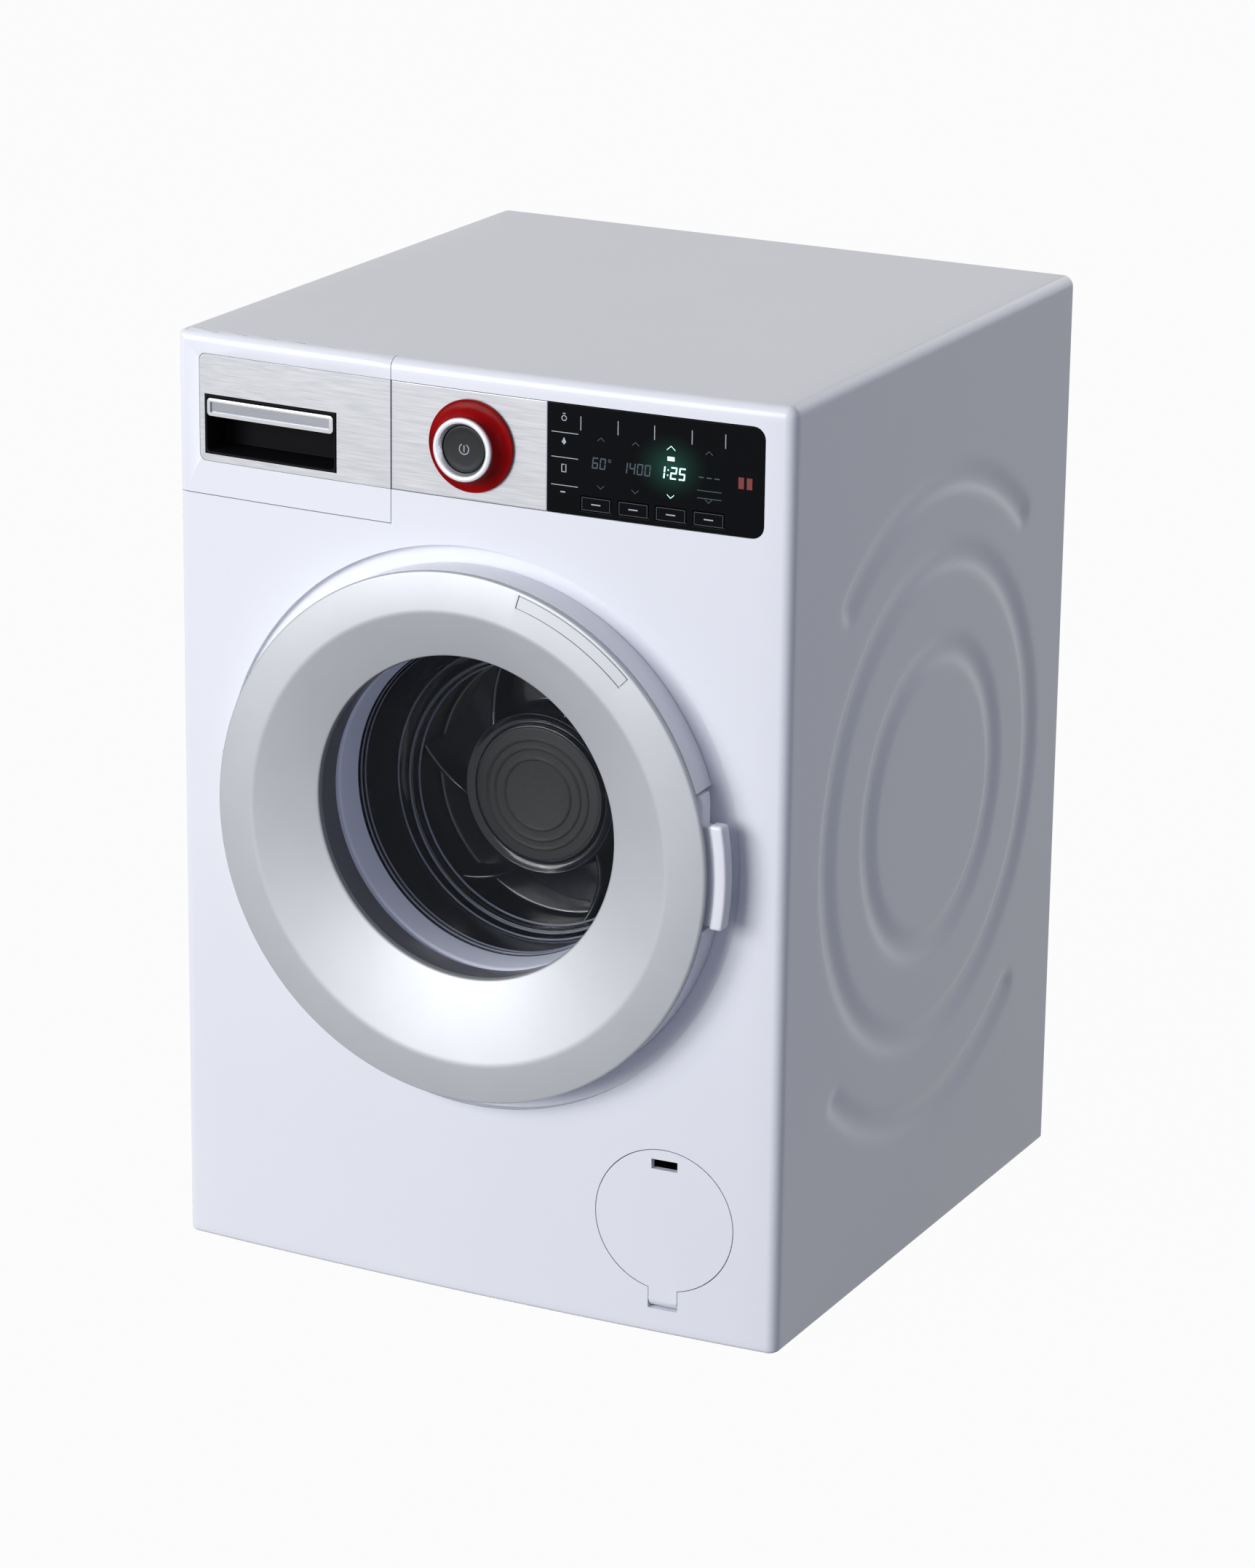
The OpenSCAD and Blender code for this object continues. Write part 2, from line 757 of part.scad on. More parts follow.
// A round wire wound on a cylinder, as one swept tube
module coil(r, wire_r, turns, pitch) {
  steps = 10;
  sides = 6;
  count = turns * steps;
  points = [
    for (i = [0 : count])
      for (j = [0 : sides - 1])
        let (a = i * 360 / steps, b = j * 360 / sides, ring = r + wire_r * cos(b))
          [ring * cos(a), ring * sin(a), wire_r + i * pitch / steps + wire_r * sin(b)]
  ];
  walls = [
    for (i = [0 : count - 1])
      for (j = [0 : sides - 1])
        let (k = (j + 1) % sides)
          each [
            [i * sides + j, i * sides + k, (i + 1) * sides + k],
            [i * sides + j, (i + 1) * sides + k, (i + 1) * sides + j]
          ]
  ];
  first = [for (j = [1 : sides - 2]) [0, j + 1, j]];
  last = [for (j = [1 : sides - 2]) [count * sides, count * sides + j, count * sides + j + 1]];
  polyhedron(points = points, faces = concat(walls, first, last), convexity = 4);
}

module speaker() {
  color("dimgray") cover_place() translate([0, speaker_z, cover_t + rest_gap]) {
    disc(speaker_r, 0, 2);
    disc(speaker_r - 6, 2, speaker_t - 2);
    disc(speaker_r - 9, speaker_t - 2, speaker_t);
  }
}

// The control panel
module fascia_plate() {
  color("silver") difference() {
    crown_skin(0, -inlay_t + rest_gap)
      at_front(0, 0)
        slab(drawer_seam + seam_gap, display_left - 0.05, panel_low, panel_high, -over, crown + over);
    at_front(0, knob_z) disc(fascia_hole, -wall, crown + over);
  }
}

module display_window() {
  color("black") difference() {
    crown_skin(0, -inlay_t + rest_gap)
      at_front(0, 0) translate([0, 0, -over]) linear_extrude(crown + 2 * over)
        round_rect(display_left + 0.05, display_right, panel_low, panel_high, 0.4, display_r);
    for (i = [0 : key_count - 1])
      at_front(key_first + i * key_pitch, key_z)
        slab(-key_w / 2, key_w / 2, -key_h / 2, key_h / 2, -wall, crown + over);
  }
}

// The flat that touches the crowned front at a distance from the middle
module behind_tangent(x) {
  translate([0, crown_y, 0]) rotate([0, 0, asin(x / crown_r)])
    translate([-20, 0.05 - crown_r, 0]) cube([40, 40, body_h]);
}

module key_cap(i) {
  gap = 0.15;
  color("black") intersection() {
    behind_tangent(key_first + i * key_pitch);
    at_front(key_first + i * key_pitch, key_z) {
      slab(-key_w / 2 + gap, key_w / 2 - gap, -key_h / 2 + gap, key_h / 2 - gap, -key_back,
        crown + over);
      slab(-key_w / 2 - 0.7, key_w / 2 + 0.7, -key_h / 2 - 0.7, key_h / 2 + 0.7, -key_back + 1.6,
        -key_back + 2.6);
    }
  }
}

module key_1() key_cap(0);
module key_2() key_cap(1);
module key_3() key_cap(2);
module key_4() key_cap(3);

module key_mat() {
  color("dimgray") at_front(0, key_z) {
    slab(key_first - 7, key_first + (key_count - 1) * key_pitch + 7, -3.6, 3.6,
         -board_front + rest_gap, -board_front + 1.3);
    for (i = [0 : key_count - 1])
      translate([key_first + i * key_pitch, 0, -board_front + 1])
        cylinder(r1 = 2.2, r2 = 1.6, h = 1.55);
  }
}

module circuit_board() {
  color("darkgreen") at_front(0, 0) difference() {
    slab(board_left, board_right, board_low, board_high, -board_front - board_t,
      -board_front - rest_gap);
    translate([0, knob_z, 0]) disc(stem_r + 0.6, -board_front - 3, 0);
    for (p = board_holes) translate([p[0], p[1], 0]) disc(screw_r + 0.2, -board_front - 3, 0);
  }
}

module rotary_switch() {
  color("gray") at_front(0, knob_z)
    tube(switch_r, stem_r + run_gap, -board_front, -3);
}

module lamps() {
  color("white") at_front(0, 0)
    for (p = lamp_places)
      translate([p[0], p[1], -board_front]) {
        cylinder(r = 1.5, h = 3.5);
        translate([0, 0, 3.5]) sphere(1.5);
      }
}

module knob_skirt() {
  neck_r = bezel_r - 0.5;
  sweep_h = knob_front - bezel_t - knob_base;
  sweep_z = sweep_h + 0.6;
  drop = sweep_z - 0.6;
  sweep_x = (skirt_r * skirt_r - neck_r * neck_r + drop * drop) / (2 * (skirt_r - neck_r));
  color("red") at_front(0, knob_z) translate([0, 0, knob_base]) difference() {
    cylinder(r = skirt_r, h = sweep_h, $fn = fine);
    rotate_extrude($fn = fine)
      translate([sweep_x, sweep_z]) circle(sweep_x - neck_r, $fn = fine);
    translate([0, 0, -over]) cylinder(r = neck_r - 1.2, h = sweep_h + 2 * over, $fn = fine);
  }
}

module knob_core() {
  core_r = bezel_r - 1.7 - fit_gap;
  cup_floor = button_h - button_t - button_travel - part_gap;
  color("dimgray") at_front(0, knob_z) difference() {
    union() {
      disc(core_r, knob_base, knob_front - bezel_t);
      disc(stem_r, -board_front + 0.4, knob_base + 0.2);
    }
    disc(button_r + 0.15, cup_floor, knob_front);
    disc(button_rod_r + run_gap, -board_front, knob_front);
  }
}

module knob_bezel() {
  low = knob_front - bezel_t + fit_gap;
  color("silver") at_front(0, knob_z) difference() {
    disc(bezel_r, low, knob_front);
    translate([0, 0, low - 0.01])
      cylinder(r1 = button_r + 0.2, r2 = bezel_r - 1, h = bezel_t, $fn = fine);
  }
}

module power_button() {
  color("black") at_front(0, knob_z) {
    disc(button_r, button_h - button_t, button_h);
    disc(button_rod_r, -rod_back, button_h - button_t + 0.2);
  }
}

// The drawer
module drawer_place_slab(x0, x1, z0, z1, y0, y1) {
  translate([x0, front_y + y0, z0]) cube([x1 - x0, y1 - y0, z1 - z0]);
}

module drawer_front() {
  color("whitesmoke") difference() {
    intersection() {
      casing_outline();
      at_front(0, 0) slab(-side_x - over, drawer_seam, drawer_low, body_h + over,
        -drawer_front_t - over, crown + over);
    }
    behind_crown(-drawer_front_t);
    crown_skin(over, -inlay_t)
      at_front(0, 0) translate([0, 0, -over]) linear_extrude(crown + 2 * over)
        round_rect(inlay_left - rest_gap, drawer_seam + 3, panel_low - rest_gap,
          panel_high + rest_gap, 2, 1);
    at_front(0, 0)
      slab(cup_left - cup_t - rest_gap, cup_right + cup_t + rest_gap, cup_low - cup_t - rest_gap,
                        cup_high + cup_t + rest_gap, -drawer_front_t - over, crown + over);
  }
}

module drawer_inlay() {
  color("silver") difference() {
    crown_skin(0, -inlay_t + rest_gap)
      at_front(0, 0) intersection() {
        translate([0, 0, -over]) linear_extrude(crown + 2 * over)
          round_rect(inlay_left, drawer_seam + 3, panel_low, panel_high, 2, 1);
        slab(inlay_left - over, drawer_seam, panel_low - over, panel_high + over, -over, crown + over);
      }
    at_front(0, 0)
      slab(cup_left - rest_gap, cup_right + rest_gap, cup_low - rest_gap, cup_high + rest_gap,
                        -over, crown + over);
  }
}

module grip_cup() {
  color("black") difference() {
    crown_skin(0.2, -cup_depth - cup_t)
      at_front(0, 0) {
        slab(cup_left, cup_right, cup_low, cup_high, -cup_depth - 3, crown + over);
        slab(cup_left - cup_t, cup_right + cup_t, cup_low - cup_t, cup_high + cup_t,
          -cup_depth - 3, -inlay_t);
      }
    crown_skin(over, -cup_depth)
      at_front(0, 0) translate([0, 0, -cup_depth - over]) linear_extrude(cup_depth + 4 * over)
        round_rect(cup_left + 0.7, cup_right - 0.7, cup_low + 0.7, cup_high - 0.7, 1.2, 1.2);
  }
}

module grip_strip() {
  gap = 0.1;
  color("silver") difference() {
    crown_skin(0.5, -2.4)
      at_front(0, 0) intersection() {
        slab(cup_left, cup_right, cup_high - strip_h, cup_high, -4, crown + over);
        translate([0, 0, -4]) linear_extrude(crown + 6)
          round_rect(cup_left + 0.7 + gap, cup_right - 0.7 - gap, cup_low, cup_high - 0.7 - gap,
            1.1, 1.1);
      }
    crown_skin(over, -0.1)
      at_front(0, 0)
        slab(cup_left + 1.8, cup_right - 1.8, cup_high - strip_h + 1.1, cup_high - 1.8, -4,
          crown + over);
  }
}

module drawer_tray() {
  left = tray_left;
  right = tray_right;
  front = drawer_front_t + rest_gap;
  color("white") difference() {
    drawer_place_slab(left, right, tray_low, tray_high, front, tray_depth);
    drawer_place_slab(left + tray_wall, right - tray_wall, tray_low + tray_wall, tray_high + over,
                      front - over, bulkhead + 0.6);
    drawer_place_slab(left + tray_wall, tray_divider - tray_wall / 2, tray_low + tray_wall,
      tray_high + over,
                      bulkhead + 0.6 + tray_wall, tray_depth - tray_wall);
    drawer_place_slab(tray_divider + tray_wall / 2, right - tray_wall, tray_low + tray_wall,
      tray_high + over,
                      bulkhead + 0.6 + tray_wall, tray_depth - tray_wall);
    for (x = [tray_left, tray_divider])
      translate([x + 14, front_y + 40, tray_low - over]) cylinder(r = 3, h = tray_wall + 2 * over);
  }
}

module drawer_housing() {
  left = tray_left - tray_gap;
  right = tray_right + tray_gap;
  low = tray_low - tray_gap;
  high = tray_high + tray_gap;
  front = inner_wall_back + rest_gap;
  color("lightgray") difference() {
    union() {
      drawer_place_slab(left - tray_wall, right + tray_wall, low - tray_wall, high + tray_wall,
                        front, housing_back + tray_wall);
      translate([fill_x, front_y + pipe_y, low - 9]) cylinder(r = pipe_r, h = 9);
    }
    drawer_place_slab(left, right, low, high, front - over, housing_back);
    translate([fill_x, front_y + pipe_y, low - 10]) cylinder(r = pipe_bore, h = 12);
  }
}

module fill_duct() {
  low = fill_pipe_top - 4.5;
  high = tray_low - tray_gap - tray_wall - 1;
  color("darkgray") translate([fill_x, front_y + pipe_y, low]) difference() {
    cylinder(r = hose_r, h = high - low);
    translate([0, 0, -over]) cylinder(r = hose_bore, h = high - low + 2 * over);
  }
}

// The tub, its mouth and its drain
module porthole_ring() {
  color("lightsteelblue") at_front(door_x, window_z) difference() {
    union() {
      disc(porthole_r + 8, -wall - 2.2, -wall - rest_gap);
      disc(porthole_r + 2, -ring_back, -wall - rest_gap);
    }
    disc(porthole_r + 0.4, -ring_front, 0);
    translate([0, 0, -ring_back - 0.01])
      cylinder(r1 = mouth_r, r2 = mouth_r + 1, h = ring_back - ring_front + 0.02, $fn = fine);
  }
}

module tub_pipe(x, low, high) {
  translate([x, front_y + pipe_y, low]) cylinder(r = pipe_r, h = high - low);
}

module tub() {
  cone_low = -throat_depth;
  color("darkslategray") difference() {
    union() {
      at_front(door_x, door_z) {
        leaning_cone(throat_rise, throat_r + tub_wall, cone_low, window_rise, mouth_r + tub_wall,
          -tub_front);
        translate([0, window_rise, 0]) disc(flange_r, -tub_front - flange_t, -tub_front);
        disc(well_r + tub_wall + 2.4, cone_low - 2.2, cone_low + 0.01);
        disc(well_r + tub_wall, -tub_back, cone_low);
        disc(9, -tub_back - 2.6, -tub_back + 0.2);
        for (a = post_angles) rotate([0, 0, a]) translate([post_ring_r, 0, 0])
          disc(3.6, -plate_front, -tub_back + 0.2);
        rotate([0, 0, idler_angle]) translate([idler_dist, 0, 0])
          disc(4, -tub_back - 3, -tub_back + 0.2);
      }
      tub_pipe(fill_x, fill_pipe_top - 16, fill_pipe_top);
      tub_pipe(drain_x, drain_pipe_low, drain_pipe_low + 19);
    }
    at_front(door_x, door_z) {
      leaning_cone(throat_rise, throat_r, cone_low, window_rise + throat_lean * over,
                   mouth_r + throat_flare * over, -tub_front + over);
      disc(well_r, -tub_depth, cone_low + 0.5);
      disc(5.5 + fit_gap, -tub_back - 4, -tub_depth + over);
      for (a = post_angles)
        rotate([0, 0, a]) translate([post_ring_r, 0, 0])
          disc(pilot_r, -plate_front - over, -plate_front + 9);
      rotate([0, 0, idler_angle]) translate([idler_dist, 0, 0])
        disc(pin_r + fit_gap, -tub_back - 4, -tub_back);
    }
    at_front(door_x, window_z)
      for (a = boss_angles)
        rotate([0, 0, a]) translate([boss_ring_r, 0, 0])
          disc(screw_r + 0.2, -tub_front - flange_t - over, -tub_front + over);
    tub_pipe_bore(fill_x, fill_pipe_top - 10, fill_pipe_top + over);
    tub_pipe_bore(drain_x, drain_pipe_low - over, drain_pipe_low + 13);
  }
}

module tub_pipe_bore(x, low, high) {
  translate([x, front_y + pipe_y, low]) cylinder(r = pipe_bore, h = high - low);
}

module inner_screws() {
  color("silver") {
    at_front(door_x, window_z)
      for (a = boss_angles)
        rotate([0, 0, a]) screw(boss_ring_r, 0, -tub_front - flange_t - screw_head_t, 9);
    at_front(0, 0)
      for (p = board_holes) screw(p[0], p[1], -board_front - board_t - screw_head_t, 7);
  }
}

module shaft_bush() {
  color("goldenrod") at_front(door_x, door_z)
    tube(5.5, shaft_d / 2 + run_gap, -tub_back - 2.8, -tub_depth - 1.2);
}

module shaft_seal() {
  color("black") at_front(door_x, door_z)
    tube(5.4, shaft_d / 2 + run_gap, -tub_depth - 1.1, -tub_depth);
}

module drain_hose() {
  top = drain_pipe_low + 6.5;
  bend_z = flap_z + drain_bend;
  cup_side = flap_x - flap_r - 1.2;
  color("darkgray") translate([0, front_y + pipe_y, 0]) difference() {
    hose_run(hose_r, top, bend_z, cup_side, 0);
    hose_run(hose_bore, top, bend_z, cup_side, over);
  }
}

module hose_run(r, top, bend_z, cup_side, extra) {
  translate([drain_x, 0, bend_z]) cylinder(r = r, h = top - bend_z + extra);
  translate([drain_x + drain_bend, 0, bend_z]) rotate([90, 0, 0]) rotate([0, 0, 180])
    rotate_extrude(angle = 90) translate([drain_bend, 0]) circle(r);
  translate([drain_x + drain_bend, 0, flap_z]) rotate([0, 90, 0])
    cylinder(r = r, h = cup_side - drain_x - drain_bend + extra);
}

module service_cup() {
  cup_r = flap_r - 0.5;
  color("lightgray") difference() {
    union() {
      intersection() {
        at_front(flap_x, flap_z) disc(flap_r + 4, -5, crown);
        behind_crown(-wall - rest_gap);
      }
      at_front(flap_x, flap_z) disc(cup_r, -cup_deep, -4);
      translate([flap_x - cup_r - 3, front_y + pipe_y, flap_z]) rotate([0, 90, 0])
        cylinder(r = pipe_r, h = 5);
    }
    at_front(flap_x, flap_z) disc(cup_r - 1.8, -cup_deep + 2, crown);
    at_front(flap_x, flap_z) disc(6 + fit_gap, -cup_deep - over, -cup_deep + 3);
    translate([flap_x - cup_r - 4, front_y + pipe_y, flap_z]) rotate([0, 90, 0])
      cylinder(r = pipe_bore, h = 7);
    at_front(flap_x, 0)
      slab(-tab_w / 2 - lug_t - 1, tab_w / 2 + lug_t + 1, 0, flap_z - flap_r + 1, -3.4, crown);
  }
}

module drain_plug() {
  color("gray") at_front(flap_x, flap_z) {
    disc(6, -cup_deep - 2, -cup_deep + 2.1);
    disc(9, -cup_deep + 2.1, -cup_deep + 5);
    slab(-7, 7, -1.6, 1.6, -cup_deep + 5, -cup_deep + 11);
  }
}

module service_flap() {
  slot_low = flap_z + 14.4;
  color("whitesmoke") difference() {
    union() {
      crown_skin(0, -flap_lip)
        at_front(flap_x, flap_z) disc(flap_r, -wall, crown + over);
      crown_skin(-flap_lip + 0.1, -flap_t)
        at_front(flap_x, flap_z) disc(flap_r - flap_step, -wall, crown + over);
      crown_skin(0, -flap_t)
        at_front(flap_x, 0)
          slab(-tab_w / 2, tab_w / 2, flap_pin_z, flap_z - flap_r + 3, -wall, crown + over);
      flap_axis() {
        cylinder(r = barrel_r - 0.1, h = tab_w, center = true, $fn = 48);
        cylinder(r = 0.9, h = tab_w + 4.2, center = true, $fn = 48);
      }
    }
    at_front(flap_x, slot_low) slab(-3.8, 3.8, 0, 2.8, -wall - over, crown + over);
  }
}

// The wheel and its drive
module drum_wheel() {
  plate_back = -wheel_plate - wheel_plate_t;
  color("darkslategray") at_front(door_x, door_z) difference() {
    union() {
      disc(wheel_r, plate_back, -wheel_plate);
      tube(wheel_r, wheel_r - rim_t, plate_back + 0.2, -wheel_front);
      translate([0, 0, -wheel_plate - 0.1])
        cylinder(r1 = hub_r + 1.6, r2 = hub_r, h = wheel_plate - hub_depth + 0.1, $fn = fine);
      for (i = [0 : fin_count - 1]) rotate([0, 0, i * 360 / fin_count]) fin();
      disc(6.5, plate_back - 2.2, plate_back + 0.2);
    }
    for (r = [10, 13, 15.4]) tube(r + 0.25, r - 0.25, -hub_depth - 0.4, -hub_depth + over);
    disc(shaft_d / 2 + fit_gap, plate_back - 3, -hub_depth - 4);
  }
}

// One curved fin, from the hub to the rim
module fin() {
  sweep_r = 26;
  translate([0, 0, -wheel_plate - 0.1]) linear_extrude(wheel_plate - fin_top) intersection() {
    difference() {
      circle(wheel_r - rim_t / 2, $fn = fine);
      circle(hub_r - 1, $fn = fine);
    }
    translate([14, -19]) difference() {
      circle(sweep_r + fin_t / 2, $fn = fine);
      circle(sweep_r - fin_t / 2, $fn = fine);
    }
    translate([0, 4]) square([60, 60]);
  }
}

module wheel_shaft() {
  color("silver") at_front(door_x, door_z)
    disc(shaft_d / 2, -plate_front - plate_t - 1, -hub_depth - 4.2);
}

// A spur gear with plain tapered teeth, and one tooth pointing along X
module gear_shape(teeth) {
  pitch_r = gear_m * teeth / 2;
  root_r = pitch_r - 1.15 * gear_m;
  tip_r = pitch_r + 0.85 * gear_m;
  root_half = 0.62 * gear_m;
  tip_half = 0.3 * gear_m;
  circle(root_r + 0.02, $fn = fine);
  for (i = [0 : teeth - 1]) rotate(i * 360 / teeth)
    polygon([
      [root_r - 1, -root_half - 0.05], [root_r - 1, root_half + 0.05], [pitch_r, 0.66 * gear_m],
      [tip_r, tip_half], [tip_r, -tip_half], [pitch_r, -0.66 * gear_m]
    ]);
}

module gear(teeth, turn, back, front) {
  rotate([0, 0, turn]) translate([0, 0, back]) linear_extrude(front - back) gear_shape(teeth);
}

module drive_gear() {
  turn = idler_angle + 180 / wheel_teeth;
  color("ivory") at_front(door_x, door_z) difference() {
    union() {
      gear(wheel_teeth, turn, -gear_front - gear_t, -gear_front);
      disc(6, -gear_front - gear_t - 0.4, -gear_front + 0.8);
    }
    disc(shaft_d / 2 + fit_gap, -gear_front - gear_t - over, -gear_front + 2);
    for (a = [0 : 60 : 300]) rotate([0, 0, a]) translate([14.5, 0, 0])
      disc(4.4, -gear_front - gear_t - over, -gear_front + over);
  }
}

module idler_gear() {
  color("ivory") at_front(idler_x, idler_z) difference() {
    union() {
      gear(idler_small, idler_angle, -idler_front - 0.2, -gear_front + 0.3);
      gear(idler_large, pinion_angle + 180 / idler_large, -idler_front - idler_t, -idler_front);
    }
    disc(pin_r + run_gap, -idler_front - idler_t - over, -gear_front + 2);
  }
}

module idler_pin() {
  color("silver") at_front(idler_x, idler_z) disc(pin_r, -plate_front - plate_t, -tub_back - 0.1);
}

module motor_pinion() {
  color("goldenrod") at_front(motor_x, motor_z) {
    gear(pinion_teeth, pinion_angle, -idler_front - idler_t - 0.2, -idler_front + 0.2);
    disc(motor_shaft_r, -plate_front - plate_t - motor_len - 3, -idler_front + 1);
  }
}

module gear_plate() {
  color("lightgray") difference() {
    at_front(0, 0) translate([0, 0, -plate_front - plate_t]) linear_extrude(plate_t - rest_gap) {
      translate([door_x, door_z]) circle(post_ring_r + 7, $fn = fine);
      translate([motor_x, motor_z]) circle(motor_r + 4);
      translate([idler_x, idler_z]) circle(gear_m * idler_large / 2 + 2);
    }
    at_front(door_x, door_z) {
      disc(shaft_d / 2 + run_gap, -plate_front - plate_t - over, 0);
      for (a = post_angles)
        rotate([0, 0, a]) translate([post_ring_r, 0, 0])
          disc(screw_r + 0.2, -plate_front - plate_t - over, 0);
    }
    at_front(idler_x, idler_z) disc(pin_r + fit_gap, -plate_front - plate_t - over, 0);
    at_front(motor_x, motor_z) {
      disc(3.5, -plate_front - plate_t - over, 0);
      for (a = [90, 270])
        rotate([0, 0, pinion_angle + a]) translate([motor_screw_r, 0, 0])
          disc(1.2, -plate_front - plate_t - over, 0);
    }
  }
}

module drive_screws() {
  back = -plate_front - plate_t;
  color("silver") {
    at_front(door_x, door_z)
      for (a = post_angles) rotate([0, 0, a]) screw(post_ring_r, 0, back - screw_head_t, 9);
    at_front(motor_x, motor_z)
      for (a = [90, 270])
        rotate([0, 0, pinion_angle + a]) translate([motor_screw_r, 0, 0]) {
          disc(1, back - 4, -plate_front);
          disc(1.9, -plate_front, -plate_front + 0.8);
        }
  }
}

module motor() {
  face = -plate_front - plate_t - rest_gap;
  color("silver") at_front(motor_x, motor_z) difference() {
    union() {
      disc(motor_r, face - motor_len, face);
      disc(3.3, face - 0.2, -plate_front + 0.2);
      disc(4, face - motor_len - 2, face - motor_len + 0.2);
      for (side = [-1, 1])
        slab(side * 8 - 1.2, side * 8 + 1.2, -0.25, 0.25, face - motor_len - 4, face - motor_len + 0.2);
    }
    disc(motor_shaft_r + run_gap, face - motor_len - 6, 0);
    for (a = [90, 270])
      rotate([0, 0, pinion_angle + a]) translate([motor_screw_r, 0, 0]) disc(1 + fit_gap, face - 5, 0);
  }
}

// The door, as it lies closed
module window_cone(low) {
  at_front(door_x, door_z)
    leaning_cone(window_rise, window_r, low, 0, crease_r, low + cone_h);
}

module door_ring() {
  inner_h = crease_h - ring_t;
  color("silver") difference() {
    union() {
      at_front(door_x, door_z) rotate_extrude($fn = fine)
        polygon([
          [crease_r - 10.5, inner_h], [crease_r, inner_h], [door_r, rim_h - ring_t],
          [door_r, rim_h], [crease_r, crease_h], [crease_r - 10.5, crease_h]
        ]);
      window_cone(window_h - ring_t);
      door_boss_places() disc(door_boss_r, door_floor + frame_back_t + rest_gap, crease_h - ring_t);
    }
    window_cone(window_h);
    door_boss_places() disc(pilot_r, 0, door_screw_end + 0.6);
    at_front(door_x, window_z) disc(window_r - 0.3, 0, crease_h + over);
    at_front(door_x, door_z) label_groove();
    hinge_notch();
    handle_notch();
  }
}

// The four places where screws hold the door's frame to its silver ring
module door_boss_places() {
  at_front(door_x, door_z)
    for (a = door_boss_angles) rotate([0, 0, a]) translate([door_boss_ring, 0, 0]) children();
}

// A shallow outline pressed into the door's bevel
module label_groove() {
  translate([0, 0, rim_h - 0.1]) {
    intersection() {
      union() {
        tube(label_r + 0.2, label_r - 0.2, 0, 2);
        tube(label_r + 3.2, label_r + 2.8, 0, 2);
      }
      linear_extrude(3)
        polygon([[0, 0], [100 * cos(45), 100 * sin(45)], [60, 140], [100 * cos(76), 100 * sin(76)]]);
    }
  }
}

// Room in the door for the hinge lugs and knuckle
module hinge_notch() {
  half = lug_z + lug_t + 0.6;
  at_front(hinge_x, door_z)
    slab(-4, knuckle_r + 0.6, -half, half, -over, hinge_h + knuckle_r + 0.5);
}

// Room in the rim for the handle
module handle_notch() {
  at_front(handle_axis_x, 0)
    slab(-4.4, 10, notch_low, notch_high, -over, handle_axis_h + handle_barrel + 0.6);
}

module door_frame() {
  color("whitesmoke") difference() {
    union() {
      at_front(door_x, door_z) {
        rotate_extrude($fn = fine)
          polygon([
            [door_back_r - frame_t, door_floor], [door_back_r, door_floor],
            [door_r, rim_h - ring_t - 0.05], [door_r - frame_t, rim_h - ring_t - 0.05]
          ]);
        disc(door_back_r - 0.4, door_floor, door_floor + frame_back_t);
      }
      at_front(hinge_x, door_z) {
        slab(knuckle_r - 0.6, knuckle_r + 3.4, -lug_z - lug_t - 2.6, lug_z + lug_t + 2.6,
             door_floor, rim_h - ring_t - 0.05);
        slab(0, knuckle_r + 1, -knuckle_half, knuckle_half, hinge_h - knuckle_r, hinge_h + knuckle_r);
        translate([0, 0, hinge_h]) rotate([90, 0, 0])
          cylinder(r = knuckle_r, h = 2 * knuckle_half, center = true);
      }
      intersection() {
        at_front(door_x, door_z) disc(door_back_r - 0.2, 0, rim_h);
        at_front(handle_axis_x, 0) {
          slab(-6.2, -4.4, notch_low - 2, notch_high + 2, door_floor, rim_h - ring_t - 0.05);
          for (z = [notch_low - 2, notch_high])
            slab(-6.2, 2.6, z, z + 2, door_floor, rim_h - ring_t - 0.05);
        }
      }
    }
    at_front(door_x, window_z) disc(collar_out + 0.1, -over, crease_h);
    at_front(hinge_x, door_z)
      for (side = [-1, 1])
        translate([0, side * (lug_z + lug_t / 2), 0])
          slab(-4, knuckle_r + 0.6, -lug_t / 2 - 0.6, lug_t / 2 + 0.6, -over, rim_h);
    at_front(hinge_x, door_z) {
      slab(-4, -knuckle_r - 0.1, -knuckle_half - 1, knuckle_half + 1, -over, hinge_h + knuckle_r + 0.5);
      slab(-4, knuckle_r + 0.6, -knuckle_half - 1, knuckle_half + 1, -over, hinge_h - knuckle_r - 0.1);
      translate([0, 0, hinge_h]) rotate([90, 0, 0])
        cylinder(d = hinge_pin_d + 2 * run_gap, h = 2 * knuckle_half + 4, center = true, $fn = 48);
    }
    at_front(handle_axis_x, 0)
      slab(-4.4, 10, notch_low, notch_high, -over, rim_h);
    at_front(handle_axis_x, (notch_low + notch_high) / 2)
      translate([0, 0, handle_axis_h]) rotate([90, 0, 0])
        cylinder(d = handle_pin_d + 2 * fit_gap, h = notch_high - notch_low + 3.3, center = true,
          $fn = 48);
    door_boss_places() {
      disc(screw_r + 0.2, -over, crease_h);
      disc(screw_head_r + 0.2, -over, door_floor + screw_head_t + rest_gap);
    }
  }
}

module door_collar() {
  color("dimgray") at_front(door_x, window_z) difference() {
    union() {
      translate([0, 0, -collar_reach])
        cylinder(r1 = collar_out, r2 = collar_out - 0.4,
          h = window_h - ring_t + collar_reach - 0.1, $fn = fine);
      disc(collar_out + 3.4, door_floor + frame_back_t + rest_gap, door_floor + frame_back_t + 1.5);
    }
    translate([0, 0, -collar_reach - 0.01])
      cylinder(r1 = window_r + 0.6, r2 = window_r, h = window_h + collar_reach, $fn = fine);
    disc(collar_out - 0.5, -collar_reach - over, -collar_reach + pane_t);
  }
}

module door_window() {
  color([0.8, 0.85, 0.9, 0.3]) at_front(door_x, window_z)
    disc(collar_out - 0.55, -collar_reach, -collar_reach + pane_t - 0.05);
}

